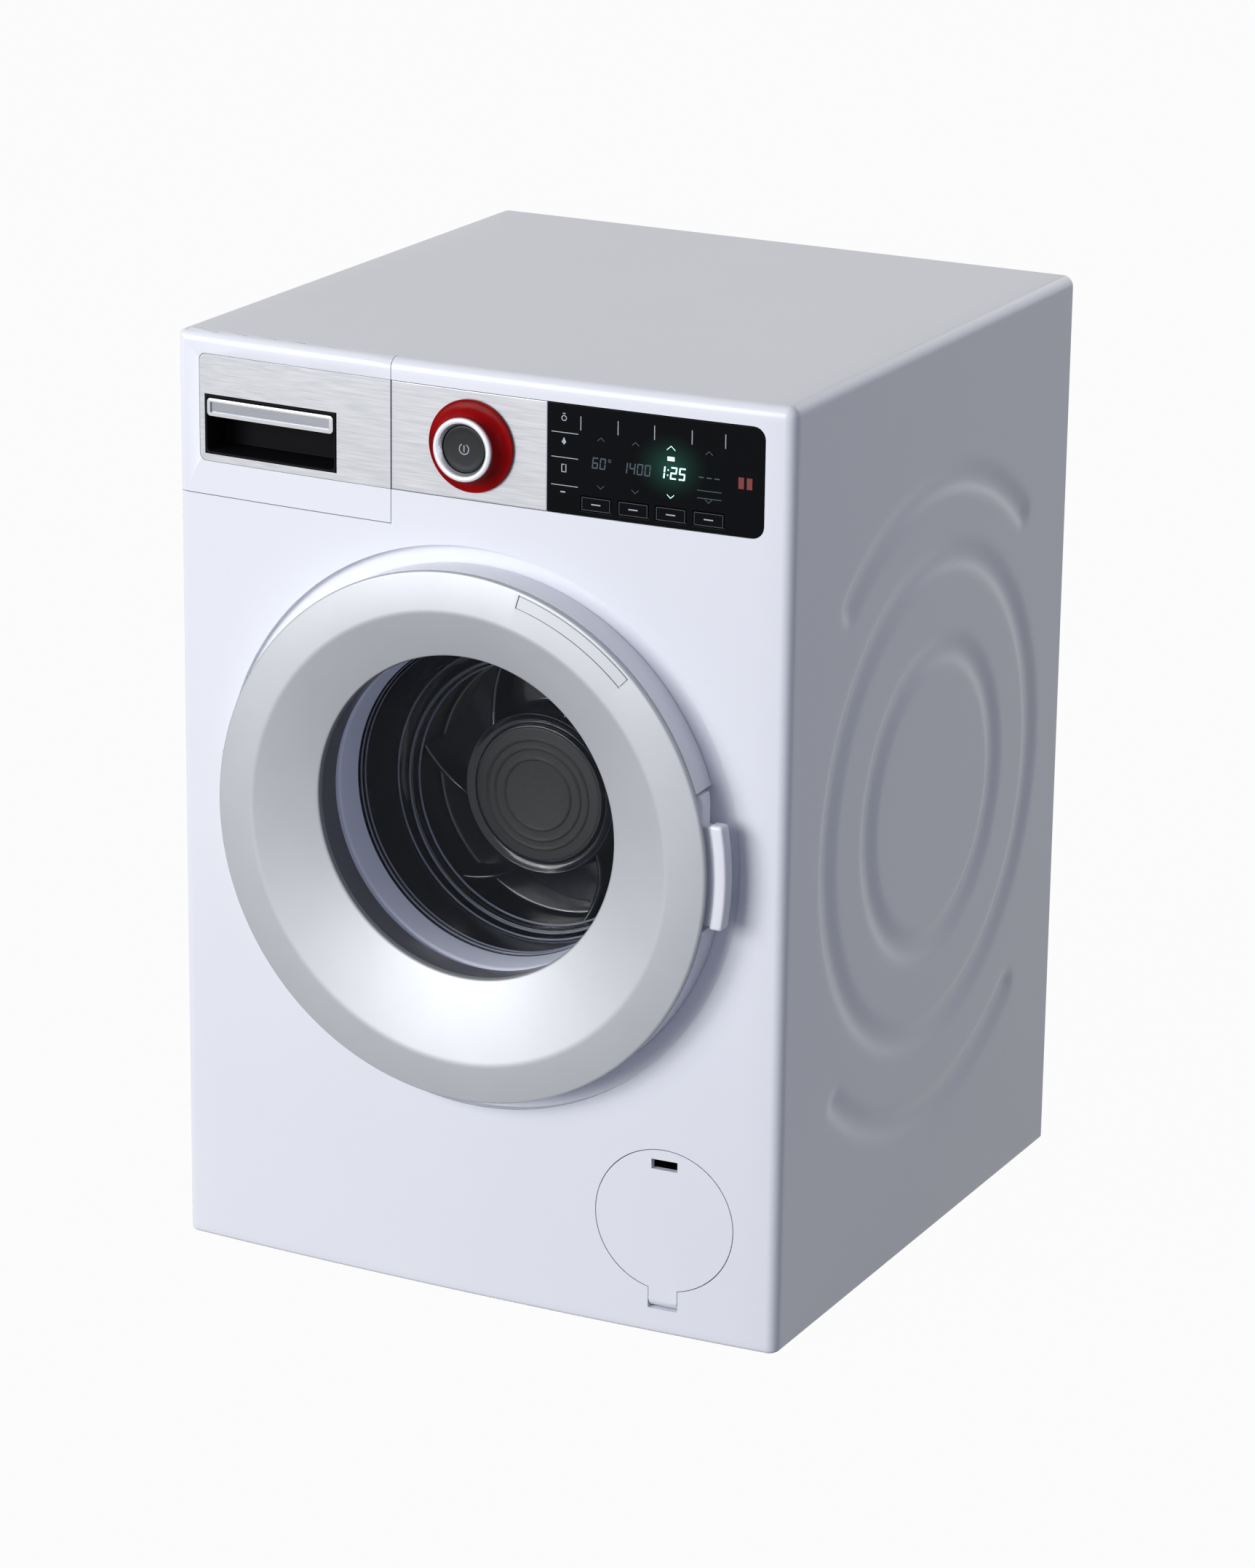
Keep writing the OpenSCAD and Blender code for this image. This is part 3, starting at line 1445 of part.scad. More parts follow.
module door_screws() {
  head_back = door_floor + rest_gap;
  color("silver") door_boss_places() screw(0, 0, head_back, door_screw_end - head_back - screw_head_t);
}

module hinge_bracket() {
  back = -wall - rest_gap - bracket_t;
  color("whitesmoke") at_front(hinge_x, door_z) difference() {
    union() {
      slab(-6, 12, -bracket_half, bracket_half, back, back + bracket_t);
      for (side = [-1, 1])
        translate([0, side * (lug_z + lug_t / 2), 0]) {
          slab(-knuckle_r, knuckle_r, -lug_t / 2, lug_t / 2, back, hinge_h);
          translate([0, 0, hinge_h]) rotate([90, 0, 0])
            cylinder(r = knuckle_r, h = lug_t, center = true);
        }
    }
    translate([0, 0, hinge_h]) rotate([90, 0, 0])
      cylinder(d = hinge_pin_d + 2 * fit_gap, h = 40, center = true, $fn = 48);
  }
}

module hinge_pin() {
  color("silver") at_front(hinge_x, door_z) translate([0, 0, hinge_h]) rotate([90, 0, 0])
    cylinder(d = hinge_pin_d, h = 2 * (lug_z + lug_t), center = true, $fn = 48);
}

module strike() {
  front = -wall - rest_gap;
  color("gray") at_front(handle_axis_x, door_z)
    difference() {
      slab(-8, 8.6, -12, 12, front - strike_t, front);
      slab(-nose_t - 0.6, nose_t / 2 + nose_swing, -8, 8, front - strike_t - over, front + over);
    }
}

module handle_pin() {
  color("silver") at_front(handle_axis_x, 0) translate([0, (notch_low + notch_high) / 2, handle_axis_h])
    rotate([90, 0, 0])
      cylinder(d = handle_pin_d, h = notch_high - notch_low + 3.2, center = true, $fn = 48);
}

module handle_spring() {
  color("silver") at_front(handle_axis_x, notch_low + 0.4) translate([0, 0, handle_axis_h])
    rotate([-90, 0, 0]) coil(1.5, 0.3, 4, 0.95);
}

module door_handle() {
  bar_low = handle_mid - handle_len / 2;
  bar_high = handle_mid + handle_len / 2;
  bar_r = door_r + handle_gap;
  color("whitesmoke") difference() {
    union() {
      at_front(door_x, door_z) intersection() {
        tube(handle_r, bar_r, handle_low_h, handle_low_h + handle_d);
        slab(40, 90, bar_low - door_z, bar_high - door_z, 0, rim_h);
      }
      intersection() {
        at_front(door_x, door_z) disc(door_r - 0.2, 0, rim_h);
        at_front(handle_axis_x, bar_low + 0.5) translate([0, 0, handle_axis_h]) rotate([-90, 0, 0])
          cylinder(r = handle_barrel, h = notch_high - bar_low - 1.4, $fn = fine);
      }
      at_front(handle_axis_x, 0) {
        slab(0, bar_r - (handle_axis_x - door_x) + 1, handle_mid - handle_web, handle_mid + handle_web,
          handle_axis_h - 0.3, handle_axis_h + 1.7);
        slab(-nose_t / 2, nose_t / 2, door_z - 6, door_z + 6, -nose_back + 1.2, handle_axis_h);
        translate([-0.4, door_z - 6, -nose_back + 1.6]) rotate([-90, 0, 0]) cylinder(r = 1.5, h = 12);
      }
    }
    at_front(handle_axis_x, handle_mid) translate([0, 0, handle_axis_h]) rotate([90, 0, 0])
      cylinder(d = handle_pin_d + 2 * run_gap, h = 2 * handle_len + 8, center = true, $fn = 48);
    at_front(handle_axis_x, notch_low - 1) translate([0, 0, handle_axis_h]) rotate([-90, 0, 0])
      cylinder(r = 2, h = 6.2, $fn = 48);
  }
}

casing();
back_cover();
back_screws();
feet();
fascia_plate();
display_window();
circuit_board();
key_mat();
rotary_switch();
lamps();
speaker();
drawer_housing();
fill_duct();
porthole_ring();
tub();
inner_screws();
shaft_bush();
shaft_seal();
gear_plate();
drive_screws();
motor();
idler_pin();
battery_box();
battery_cells();
battery_contacts();
battery_cover();
hinge_bracket();
hinge_pin();
strike();
service_cup();
drain_plug();
drain_hose();
door_ring();
door_frame();
door_collar();
door_window();
door_screws();
handle_pin();
handle_spring();
door_handle();
drawer_front();
drawer_inlay();
grip_cup();
grip_strip();
drawer_tray();
knob_skirt();
knob_core();
knob_bezel();
power_button();
service_flap();
key_1();
key_2();
key_3();
key_4();
drum_wheel();
wheel_shaft();
drive_gear();
idler_gear();
motor_pinion();
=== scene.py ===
# Toy washing machine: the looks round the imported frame. The front faces -Y, and sizes are in mm
import json
import math

import bmesh
import bpy
from mathutils import Matrix, Vector


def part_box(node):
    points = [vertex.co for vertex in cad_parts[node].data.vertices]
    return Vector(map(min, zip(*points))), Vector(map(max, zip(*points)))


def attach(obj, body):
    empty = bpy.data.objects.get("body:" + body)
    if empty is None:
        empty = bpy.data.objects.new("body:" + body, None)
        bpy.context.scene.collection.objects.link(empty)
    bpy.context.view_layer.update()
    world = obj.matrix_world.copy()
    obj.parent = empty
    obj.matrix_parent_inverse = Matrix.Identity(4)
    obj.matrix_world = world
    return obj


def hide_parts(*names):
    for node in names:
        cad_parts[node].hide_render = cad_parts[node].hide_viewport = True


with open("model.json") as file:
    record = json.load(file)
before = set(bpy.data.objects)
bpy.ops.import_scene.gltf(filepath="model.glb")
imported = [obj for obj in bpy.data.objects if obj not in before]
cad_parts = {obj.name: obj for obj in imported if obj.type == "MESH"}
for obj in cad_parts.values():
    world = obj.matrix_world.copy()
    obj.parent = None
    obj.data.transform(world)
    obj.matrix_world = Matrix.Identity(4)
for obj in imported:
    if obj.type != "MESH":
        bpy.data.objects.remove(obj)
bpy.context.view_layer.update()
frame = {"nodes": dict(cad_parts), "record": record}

MM = 0.001
BODY_OF = {n: b for b, nodes in frame["record"]["behaviour"]["bodies"].items() for n in nodes}
SLOT_OF = {s["node"]: s["material_slot"] for s in frame["record"]["subparts"]}

# Sizes shared with the solids
CREASE_H = 13.1
CREASE_R = 62.2
RIM_H = 12.0
RING_T = 1.8
WINDOW_R = 44.5
WINDOW_H = 8.0
CROWN = 2.6
KEYS = ("key_1", "key_2", "key_3", "key_4")


def span(node):
    """The two corners of a solid's box, in mm"""
    return [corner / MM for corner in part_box(node)]


def middle(node):
    """The middle of a solid's box, in mm"""
    low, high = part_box(node)
    return (low + high) / 2 / MM


DOOR_BOX = span("door_ring")
DOOR_R = (DOOR_BOX[1].z - DOOR_BOX[0].z) / 2
DOOR_Z = (DOOR_BOX[0].z + DOOR_BOX[1].z) / 2
WINDOW = middle("door_window")
DOOR_X = WINDOW.x
RISE = WINDOW.z - DOOR_Z
FRONT_Y = DOOR_BOX[0].y + CREASE_H
CASING_LOW, CASING_HIGH = span("casing")
SIDE_X = CASING_HIGH.x
BACK_Y = CASING_HIGH.y
CROWN_R = (SIDE_X ** 2 + CROWN ** 2) / (2 * CROWN)


def crown_h(x):
    """How far the bulging front stands before its corners"""
    return CROWN - CROWN_R + math.sqrt(CROWN_R ** 2 - x * x)


def front(x, z, lift=0.0):
    """A frame on the front's corner plane: X right, Y up, Z towards the viewer, still in mm"""
    return Matrix.Translation((x, FRONT_Y - lift, z)) @ Matrix.Rotation(math.radians(90), 4, "X")


# Materials
def srgb(text, alpha=1.0):
    """A hex colour as linear numbers"""
    def channel(start):
        c = int(text[start:start + 2], 16) / 255
        return c / 12.92 if c <= 0.04045 else ((c + 0.055) / 1.055) ** 2.4
    return (channel(0), channel(2), channel(4), alpha)


def add(tree, kind, settings=None, links=None):
    """Adds a node, sets its settings and sockets, and links its sockets"""
    node = tree.nodes.new(kind)
    for key, value in (settings or {}).items():
        if isinstance(key, str) and hasattr(node, key):
            setattr(node, key, value)
        else:
            node.inputs[key].default_value = value
    for key, source in (links or {}).items():
        tree.links.new(source, node.inputs[key])
    return node


def blank(name):
    """A new material and its empty tree"""
    made = bpy.data.materials.new(name)
    made.use_nodes = True
    made.node_tree.nodes.clear()
    return made, made.node_tree


def finish(name, colour, rough, metallic=0.0, ior=1.46, coat=0.0, second=None, patch=30.0,
           grain=0.6, relief=0.01, stretch=(1, 1, 1), alpha=1.0, glow=None):
    """A finish whose colour drifts to the second one over patches, with a fine grain. Patch, grain and
    relief are in mm, and the grain also varies the roughness a little"""
    made, tree = blank(name)
    place = add(tree, "ShaderNodeTexCoord")
    turned = add(tree, "ShaderNodeMapping", {"Scale": stretch}, {"Vector": place.outputs["Object"]})
    broad = add(tree, "ShaderNodeTexNoise", {"Scale": 1 / (patch * MM), "Detail": 2.0},
                {"Vector": turned.outputs[0]})
    mixed = add(tree, "ShaderNodeMix", {"data_type": "RGBA", 6: srgb(colour), 7: srgb(second or colour)},
                {0: broad.outputs[0]})
    fine = add(tree, "ShaderNodeTexNoise", {"Scale": 1 / (grain * MM), "Detail": 3.0},
               {"Vector": turned.outputs[0]})
    sheen = add(tree, "ShaderNodeMapRange", {"To Min": rough * 0.88, "To Max": min(1.0, rough * 1.14)},
                {"Value": fine.outputs[0]})
    relief_node = add(tree, "ShaderNodeBump", {"Strength": 0.6, "Distance": relief * MM},
                      {"Height": fine.outputs[0]})
    shader = add(tree, "ShaderNodeBsdfPrincipled",
                 {"Metallic": metallic, "IOR": ior, "Coat Weight": coat, "Coat Roughness": 0.08,
                  "Alpha": alpha},
                 {"Base Color": mixed.outputs[2], "Roughness": sheen.outputs[0],
                  "Normal": relief_node.outputs[0]})
    if glow:
        shader.inputs["Emission Color"].default_value = srgb(glow[0])
        shader.inputs["Emission Strength"].default_value = glow[1]
    add(tree, "ShaderNodeOutputMaterial", links={"Surface": shader.outputs[0]})
    return made


# White ABS, moulded in a polished tool: an even satin white with a very fine skin
ABS_WHITE = finish("abs_white_satin", "E9EBF1", 0.33, ior=1.54, second="E4E6ED", patch=60, grain=0.5,
                   relief=0.006)
# The same ABS for the inside and the back, in light grey from a spark-eroded tool: matt
ABS_GREY = finish("abs_grey_matt", "A9ABB3", 0.55, ior=1.54, second="A2A4AC", grain=0.8, relief=0.02)
# Silver paint over moulded ABS: metal flakes give a soft, cool sheen
PAINT_SILVER = finish("paint_silver_flake", "B1B3B7", 0.45, metallic=0.42, second="ABADB2", patch=12,
                      grain=0.25, relief=0.008)
# Foil printed as brushed aluminium: fine level streaks
FOIL_BRUSHED = finish("foil_brushed_silver", "C9CACD", 0.38, metallic=0.45, second="9D9FA3", patch=0.45,
                      grain=0.3, relief=0.01, stretch=(0.04, 1, 1))
# Black polycarbonate, polished: deep and glossy
PC_BLACK = finish("polycarbonate_black_gloss", "0B0C10", 0.12, ior=1.58, second="0E1015", coat=0.3,
                  relief=0.002)
# Black ABS of the drawer's cup, matt: painted shade, dark so that it reads as a hollow
CUP_PAINTED_SHADE = finish("abs_black_matt", "0B0B0D", 0.55, ior=1.15, second="0E0E11", relief=0.01)
# The display's window, the same polycarbonate with a hard anti-glare coat
PC_DISPLAY = finish("polycarbonate_black_antiglare", "050609", 0.3, ior=1.12, second="08090D", relief=0.002)
# Dark blue-grey ABS of the tub, glossy; the thin light lines at its edges are painted on pale beads
ABS_TUB = finish("abs_tub_dark", "0A0E18", 0.16, ior=1.38, second="151B2A", patch=25, grain=5, relief=0.01)
# The wheel's ABS, from a mirror-polished tool: its fins catch bright streaks
ABS_WHEEL = finish("abs_wheel_gloss", "0B0F18", 0.13, ior=1.5, second="151A27", patch=20, grain=5,
                   relief=0.01)
# Painted highlight: pale beads on the tub's edges and the wheel's rims stand for the light they catch
RIM_PAINTED_HIGHLIGHT = finish("abs_rim_polished", "9298AA", 0.2, ior=1.54, second="6C7283", patch=12, relief=0.002)
# Dark grey ABS of the hub face: satin
ABS_HUB = finish("abs_hub_satin", "2E2F30", 0.42, ior=1.35, second="343536", relief=0.01)
# Smoke-tinted polycarbonate of the window's wall; its faint glow is painted light falling into the window
PC_SMOKE_PAINTED_GLOW = finish("polycarbonate_smoke", "6E6F76", 0.2, ior=1.4, second="5C5D64", relief=0.002,
                  glow=("45464D", 0.25))
# Clear polystyrene window: barely tinted, with a sharp gloss
PS_CLEAR = finish("polystyrene_clear", "20242A", 0.04, ior=1.59, alpha=0.07, relief=0.001)
# Lilac-grey ABS round the porthole; its faint glow is painted light falling in through the window
ABS_LILAC_PAINTED_GLOW = finish("abs_lilac_satin", "E4E8F6", 0.35, ior=1.54, second="DADEEE", relief=0.008,
                   glow=("A6ACC4", 0.18))
# Red see-through polystyrene over silver, drifting between a bright and a deep red in patches
PS_RED = finish("polystyrene_red", "A80105", 0.25, ior=1.15, second="5A0003", patch=7, relief=0.002)
# Chrome plating on ABS
CHROME = finish("chrome_plate", "D9DADD", 0.12, metallic=1.0, second="CFD0D4", relief=0.002)
# The strip's sunk middle, plated over a matt surface
CHROME_SATIN = finish("chrome_satin", "7B7D83", 0.38, metallic=0.9, second="8A8C92", patch=9, relief=0.006,
                      stretch=(0.05, 1, 1))
# Zinc-plated steel screws and pins
STEEL = finish("steel_zinc", "A8AAAD", 0.34, metallic=1.0, second="9C9EA2", patch=4, relief=0.01)
# Turned brass
BRASS = finish("brass_turned", "B9975A", 0.3, metallic=1.0, second="AD8B50", patch=5, relief=0.01)
# Natural nylon of the gears: milky and waxy
NYLON = finish("nylon_natural", "DEDBCF", 0.48, ior=1.53, second="D6D2C4", patch=8)
# Matt black rubber
RUBBER = finish("rubber_black", "1E1E20", 0.78, ior=1.52, second="262628", patch=6, grain=0.4, relief=0.03)
# Green solder mask on the circuit board
BOARD = finish("board_green", "12502A", 0.3, ior=1.5, second="0E4524", patch=5)
# Milky diffuser of the lamps
LAMP = finish("lamp_milky", "E8E8E2", 0.3, ior=1.5, second="DFDFD8", patch=3)
# Printed steel sleeve of the cells
CELL = finish("cell_sleeve", "8C8F94", 0.3, metallic=0.5, second="7F8287", patch=10)

# Bright plating with a fine satin skin, for the knob's bezel
CHROME_SOFT = finish("chrome_soft", "D8DADF", 0.28, metallic=0.85, second="D6D8DE", patch=6, relief=0.003)
# Black ABS of the power button, half gloss
ABS_BUTTON = finish("abs_black_half_gloss", "121417", 0.32, ior=1.35, second="16181B", relief=0.004)
# Painted highlight: a faint bright line along each key's edge, standing for the light its edge catches
KEY_EDGE_PAINTED_HIGHLIGHT = finish("key_edge_line", "33373F", 0.4, second="3C4048", patch=3)
# Inks and lights behind the display: pale print, dim and lit digits, and the red start mark
# The pale ink's faint glow is painted light that makes the print read brighter
INK_PALE_PAINTED_GLOW = finish("ink_pale_grey", "A9AFB8", 0.5, second="9AA0AA", patch=2, glow=("A9AFB8", 0.1))
DIGIT_DIM = finish("digit_dim", "20303A", 0.5, second="2A3C46", patch=2, glow=("35505C", 0.18))
DIGIT_LIT = finish("digit_lit", "CFFFF0", 0.5, second="BFF8E6", patch=2, glow=("CFFFF0", 0.75))
MARK_RED = finish("mark_red", "5E1210", 0.5, second="741814", patch=2, glow=("801812", 0.1))

MATERIAL_OF = {
    "white_plastic": ABS_WHITE, "grey_plastic": ABS_GREY, "silver_plastic": FOIL_BRUSHED,
    "silver_paint": PAINT_SILVER, "black_gloss": PC_BLACK, "dark_plastic": ABS_TUB,
    "smoke_plastic": PC_SMOKE_PAINTED_GLOW, "clear_plastic": PS_CLEAR, "lilac_plastic": ABS_LILAC_PAINTED_GLOW,
    "red_plastic": PS_RED, "chrome": CHROME, "steel": STEEL, "brass": BRASS, "nylon": NYLON,
    "rubber": RUBBER, "board": BOARD, "lamp": LAMP, "cell": CELL,
}
for node, carried in frame["nodes"].items():
    carried.data.materials.clear()
    carried.data.materials.append(MATERIAL_OF[SLOT_OF[node]])


# Mesh helpers
def settle(bm, name, node, material, place=None, sharp=30, replaces=True):
    """Turns a mesh drawn in mm into a finished piece that stands for a node"""
    mesh = bpy.data.meshes.new(name)
    bm.to_mesh(mesh)
    bm.free()
    mesh.transform(Matrix.Scale(MM, 4) @ (place or Matrix.Identity(4)))
    mesh.shade_smooth()
    mesh.set_sharp_from_angle(angle=math.radians(sharp))
    piece = bpy.data.objects.new(name, mesh)
    bpy.context.scene.collection.objects.link(piece)
    mesh.materials.append(material)
    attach(piece, BODY_OF[node])
    if replaces:
        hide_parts(node)
    return piece


def soft(points, cuts, steps=4, closed=True):
    """A path whose corners are rounded, each by its own cut"""
    count = len(points)
    points = [Vector(p) for p in points]
    path = []
    for i, (corner, cut) in enumerate(zip(points, cuts)):
        if cut <= 0 or (not closed and i in (0, count - 1)):
            path.append(corner)
            continue
        before, after = points[i - 1], points[(i + 1) % count]
        start = corner + (before - corner).normalized() * min(cut, (before - corner).length * 0.48)
        end = corner + (after - corner).normalized() * min(cut, (after - corner).length * 0.48)
        for k in range(steps + 1):
            t = k / steps
            path.append(start * (1 - t) ** 2 + corner * 2 * t * (1 - t) + end * t * t)
    return path


def loft(path, steps=240, closed=True):
    """A shell through circles given as (rise of the centre, radius, height)"""
    bm = bmesh.new()
    rings = []
    for rise, radius, height in path:
        if radius < 1e-6:
            rings.append([bm.verts.new((0, rise, height))])
        else:
            rings.append([
                bm.verts.new((radius * math.cos(a), rise + radius * math.sin(a), height))
                for a in (2 * math.pi * k / steps for k in range(steps))
            ])
    pairs = list(zip(rings, rings[1:])) + ([(rings[-1], rings[0])] if closed else [])
    for lower, upper in pairs:
        for k in range(steps):
            n = (k + 1) % steps
            corners = [lower[k % len(lower)], lower[n % len(lower)], upper[n % len(upper)],
                       upper[k % len(upper)]]
            unique = list(dict.fromkeys(corners))
            if len(unique) > 2:
                bm.faces.new(unique)
    bmesh.ops.recalc_face_normals(bm, faces=bm.faces)
    return bm


def block(x0, x1, y0, y1, z0, z1):
    """A closed block"""
    bm = bmesh.new()
    for v in bmesh.ops.create_cube(bm, size=1)["verts"]:
        v.co = Vector((x0 if v.co.x < 0 else x1, y0 if v.co.y < 0 else y1, z0 if v.co.z < 0 else z1))
    return bm


def prism(outline, low, high):
    """A solid with an outline in X and Y, given anticlockwise, between two heights"""
    bm = bmesh.new()
    bottom = [bm.verts.new((x, y, low)) for x, y in outline]
    top = [bm.verts.new((x, y, high)) for x, y in outline]
    bm.faces.new(list(reversed(bottom)))
    bm.faces.new(top)
    for i in range(len(outline)):
        j = (i + 1) % len(outline)
        bm.faces.new((bottom[i], bottom[j], top[j], top[i]))
    return bm


def round_outline(x0, x1, y0, y1, radius, steps=6):
    """A rectangle with rounded corners, anticlockwise from its lower left"""
    corners = [(x0, y0, 180), (x1, y0, 270), (x1, y1, 0), (x0, y1, 90)]
    outline = []
    for x, y, start in corners:
        cx = x + radius if x == x0 else x - radius
        cy = y + radius if y == y0 else y - radius
        for k in range(steps + 1):
            a = math.radians(start + 90 * k / steps)
            outline.append((cx + radius * math.cos(a), cy + radius * math.sin(a)))
    return outline


def circle_outline(x, y, radius, steps=96):
    """A circle, anticlockwise"""
    return [(x + radius * math.cos(2 * math.pi * k / steps), y + radius * math.sin(2 * math.pi * k / steps))
            for k in range(steps)]


def bend(bm, pitch=6.0):
    """Cuts a solid drawn over the front's corner plane into upright strips and bends it over the bulge"""
    low = min(v.co.x for v in bm.verts)
    high = max(v.co.x for v in bm.verts)
    for k in range(1, math.ceil((high - low) / pitch)):
        geometry = bm.verts[:] + bm.edges[:] + bm.faces[:]
        bmesh.ops.bisect_plane(bm, geom=geometry, dist=1e-5, plane_co=(low + k * pitch, 0, 0),
                               plane_no=(1, 0, 0))
    for v in bm.verts:
        v.co.z += crown_h(v.co.x)
    return bm


def placed(bm, matrix):
    """The same mesh, moved"""
    bmesh.ops.transform(bm, matrix=matrix, verts=bm.verts)
    return bm


def joined(*parts):
    """Several meshes as one"""
    whole = bmesh.new()
    for part in parts:
        passing = bpy.data.meshes.new("passing")
        part.to_mesh(passing)
        part.free()
        whole.from_mesh(passing)
        bpy.data.meshes.remove(passing)
    return whole


def standing(bm, home):
    """A passing object that holds a mesh while a modifier works on it"""
    mesh = bpy.data.meshes.new("passing")
    bm.to_mesh(mesh)
    bm.free()
    piece = bpy.data.objects.new("passing", mesh)
    home.objects.link(piece)
    return piece


def discard(piece):
    """Removes a passing object and its mesh"""
    mesh = piece.data
    bpy.data.objects.remove(piece)
    bpy.data.meshes.remove(mesh)


def taken(piece):
    """The evaluated mesh of a passing object, which goes away"""
    graph = bpy.context.evaluated_depsgraph_get()
    result = bpy.data.meshes.new_from_object(piece.evaluated_get(graph))
    whole = bmesh.new()
    whole.from_mesh(result)
    bpy.data.meshes.remove(result)
    discard(piece)
    return whole


def carve(bm, tools, operation="DIFFERENCE"):
    """The mesh that is left after a boolean with other meshes"""
    shelf = bpy.data.collections.new("tools")
    bpy.context.scene.collection.children.link(shelf)
    piece = standing(bm, bpy.context.scene.collection)
    cutters = [standing(tool, shelf) for tool in tools]
    modifier = piece.modifiers.new("carve", "BOOLEAN")
    modifier.operation, modifier.solver = operation, "EXACT"
    modifier.operand_type, modifier.collection = "COLLECTION", shelf
    whole = taken(piece)
    for cutter in cutters:
        discard(cutter)
    bpy.data.collections.remove(shelf)
    return whole


def soften(piece, width, segments, sharp, harden=True):
    """A bevel along the edges of a piece that are sharper than an angle"""
    bevel = piece.modifiers.new("softened edges", "BEVEL")
    bevel.width, bevel.segments = width, segments
    bevel.limit_method, bevel.angle_limit = "ANGLE", math.radians(sharp)
    bevel.harden_normals = harden


def rounded(bm, width, segments=4, sharp=30):
    """The mesh with every sharp edge rounded"""
    piece = standing(bm, bpy.context.scene.collection)
    soften(piece, width, segments, sharp, harden=False)
    return taken(piece)


# Rules for what repeats, as Geometry Nodes
def rule(name, sockets):
    """A new tree whose named inputs follow its geometry, and its input node"""
    tree = bpy.data.node_groups.new(name, "GeometryNodeTree")
    tree.interface.new_socket("Geometry", in_out="INPUT", socket_type="NodeSocketGeometry")
    for label, kind in sockets:
        tree.interface.new_socket(label, in_out="INPUT", socket_type="NodeSocket" + kind)
    tree.interface.new_socket("Finish", in_out="INPUT", socket_type="NodeSocketMaterial")
    tree.interface.new_socket("Geometry", in_out="OUTPUT", socket_type="NodeSocketGeometry")
    return tree, add(tree, "NodeGroupInput")


def end_rule(tree, given, geometry):
    """Ends a tree with real meshes and their material"""
    real = add(tree, "GeometryNodeRealizeInstances", {}, {"Geometry": geometry})
    coated = add(tree, "GeometryNodeSetMaterial", {},
                 {"Geometry": real.outputs[0], "Material": given.outputs["Finish"]})
    add(tree, "NodeGroupOutput", {}, {0: coated.outputs[0]})
    return tree


def round_axis_rule():
    """Copies of a mesh, turned evenly about Z"""
    tree, given = rule("copies_round_an_axis", [("Count", "Int")])
    spots = add(tree, "GeometryNodeMeshLine", {"Offset": (0, 0, 0)}, {"Count": given.outputs["Count"]})
    place = add(tree, "GeometryNodeInputIndex")
    step = add(tree, "ShaderNodeMath", {"operation": "DIVIDE", 0: 2 * math.pi}, {1: given.outputs["Count"]})
    angle = add(tree, "ShaderNodeMath", {"operation": "MULTIPLY"},
                {0: place.outputs[0], 1: step.outputs[0]})
    turn = add(tree, "ShaderNodeCombineXYZ", {}, {"Z": angle.outputs[0]})
    copies = add(tree, "GeometryNodeInstanceOnPoints", {},
                 {"Points": spots.outputs[0], "Instance": given.outputs["Geometry"],
                  "Rotation": turn.outputs[0]})
    return end_rule(tree, given, copies.outputs[0])


def bead_rule():
    """A round bead along a circle"""
    tree, given = rule("bead_round_a_circle", [("Radius", "Float"), ("Bead", "Float")])
    path = add(tree, "GeometryNodeCurvePrimitiveCircle", {"Resolution": 216},
               {"Radius": given.outputs["Radius"]})
    section = add(tree, "GeometryNodeCurvePrimitiveCircle", {"Resolution": 10},
                  {"Radius": given.outputs["Bead"]})
    swept = add(tree, "GeometryNodeCurveToMesh", {},
                {"Curve": path.outputs[0], "Profile Curve": section.outputs[0]})
    return end_rule(tree, given, swept.outputs[0])


def screw_rule():
    """Cross-headed screws on the points of a mesh, heads towards Z"""
    tree, given = rule("cross_headed_screws", [("Head Radius", "Float"), ("Head Height", "Float")])
    radius, height = given.outputs["Head Radius"], given.outputs["Head Height"]
    head = add(tree, "GeometryNodeMeshCylinder", {"Vertices": 40}, {"Radius": radius, "Depth": height})
    long_side = add(tree, "ShaderNodeMath", {"operation": "MULTIPLY", 1: 1.25}, {0: radius})
    short_side = add(tree, "ShaderNodeMath", {"operation": "MULTIPLY", 1: 0.26}, {0: radius})
    slots = []
    for wide, narrow in ((long_side, short_side), (short_side, long_side)):
        size = add(tree, "ShaderNodeCombineXYZ", {},
                   {"X": wide.outputs[0], "Y": narrow.outputs[0], "Z": height})
        slot = add(tree, "GeometryNodeMeshCube", {}, {"Size": size.outputs[0]})
        lift = add(tree, "ShaderNodeCombineXYZ", {}, {"Z": height})
        raised = add(tree, "GeometryNodeTransform", {},
                     {"Geometry": slot.outputs[0], "Translation": lift.outputs[0]})
        sunk = add(tree, "GeometryNodeTransform", {"Translation": (0, 0, -0.3)},
                   {"Geometry": raised.outputs[0]})
        slots.append(sunk.outputs[0])
    cut = add(tree, "GeometryNodeMeshBoolean", {"operation": "DIFFERENCE"}, {0: head.outputs[0]})
    for slot in slots:
        tree.links.new(slot, cut.inputs[1])
    copies = add(tree, "GeometryNodeInstanceOnPoints", {},
                 {"Points": given.outputs["Geometry"], "Instance": cut.outputs[0]})
    return end_rule(tree, given, copies.outputs[0])


def row_rule():
    """Copies of a mesh in a straight row"""
    tree, given = rule("copies_in_a_row", [("Count", "Int"), ("Step", "Vector")])
    spots = add(tree, "GeometryNodeMeshLine", {},
                {"Count": given.outputs["Count"], "Offset": given.outputs["Step"]})
    copies = add(tree, "GeometryNodeInstanceOnPoints", {},
                 {"Points": spots.outputs[0], "Instance": given.outputs["Geometry"]})
    return end_rule(tree, given, copies.outputs[0])


ROUND_AXIS, BEAD, SCREWS, ROW = round_axis_rule(), bead_rule(), screw_rule(), row_rule()


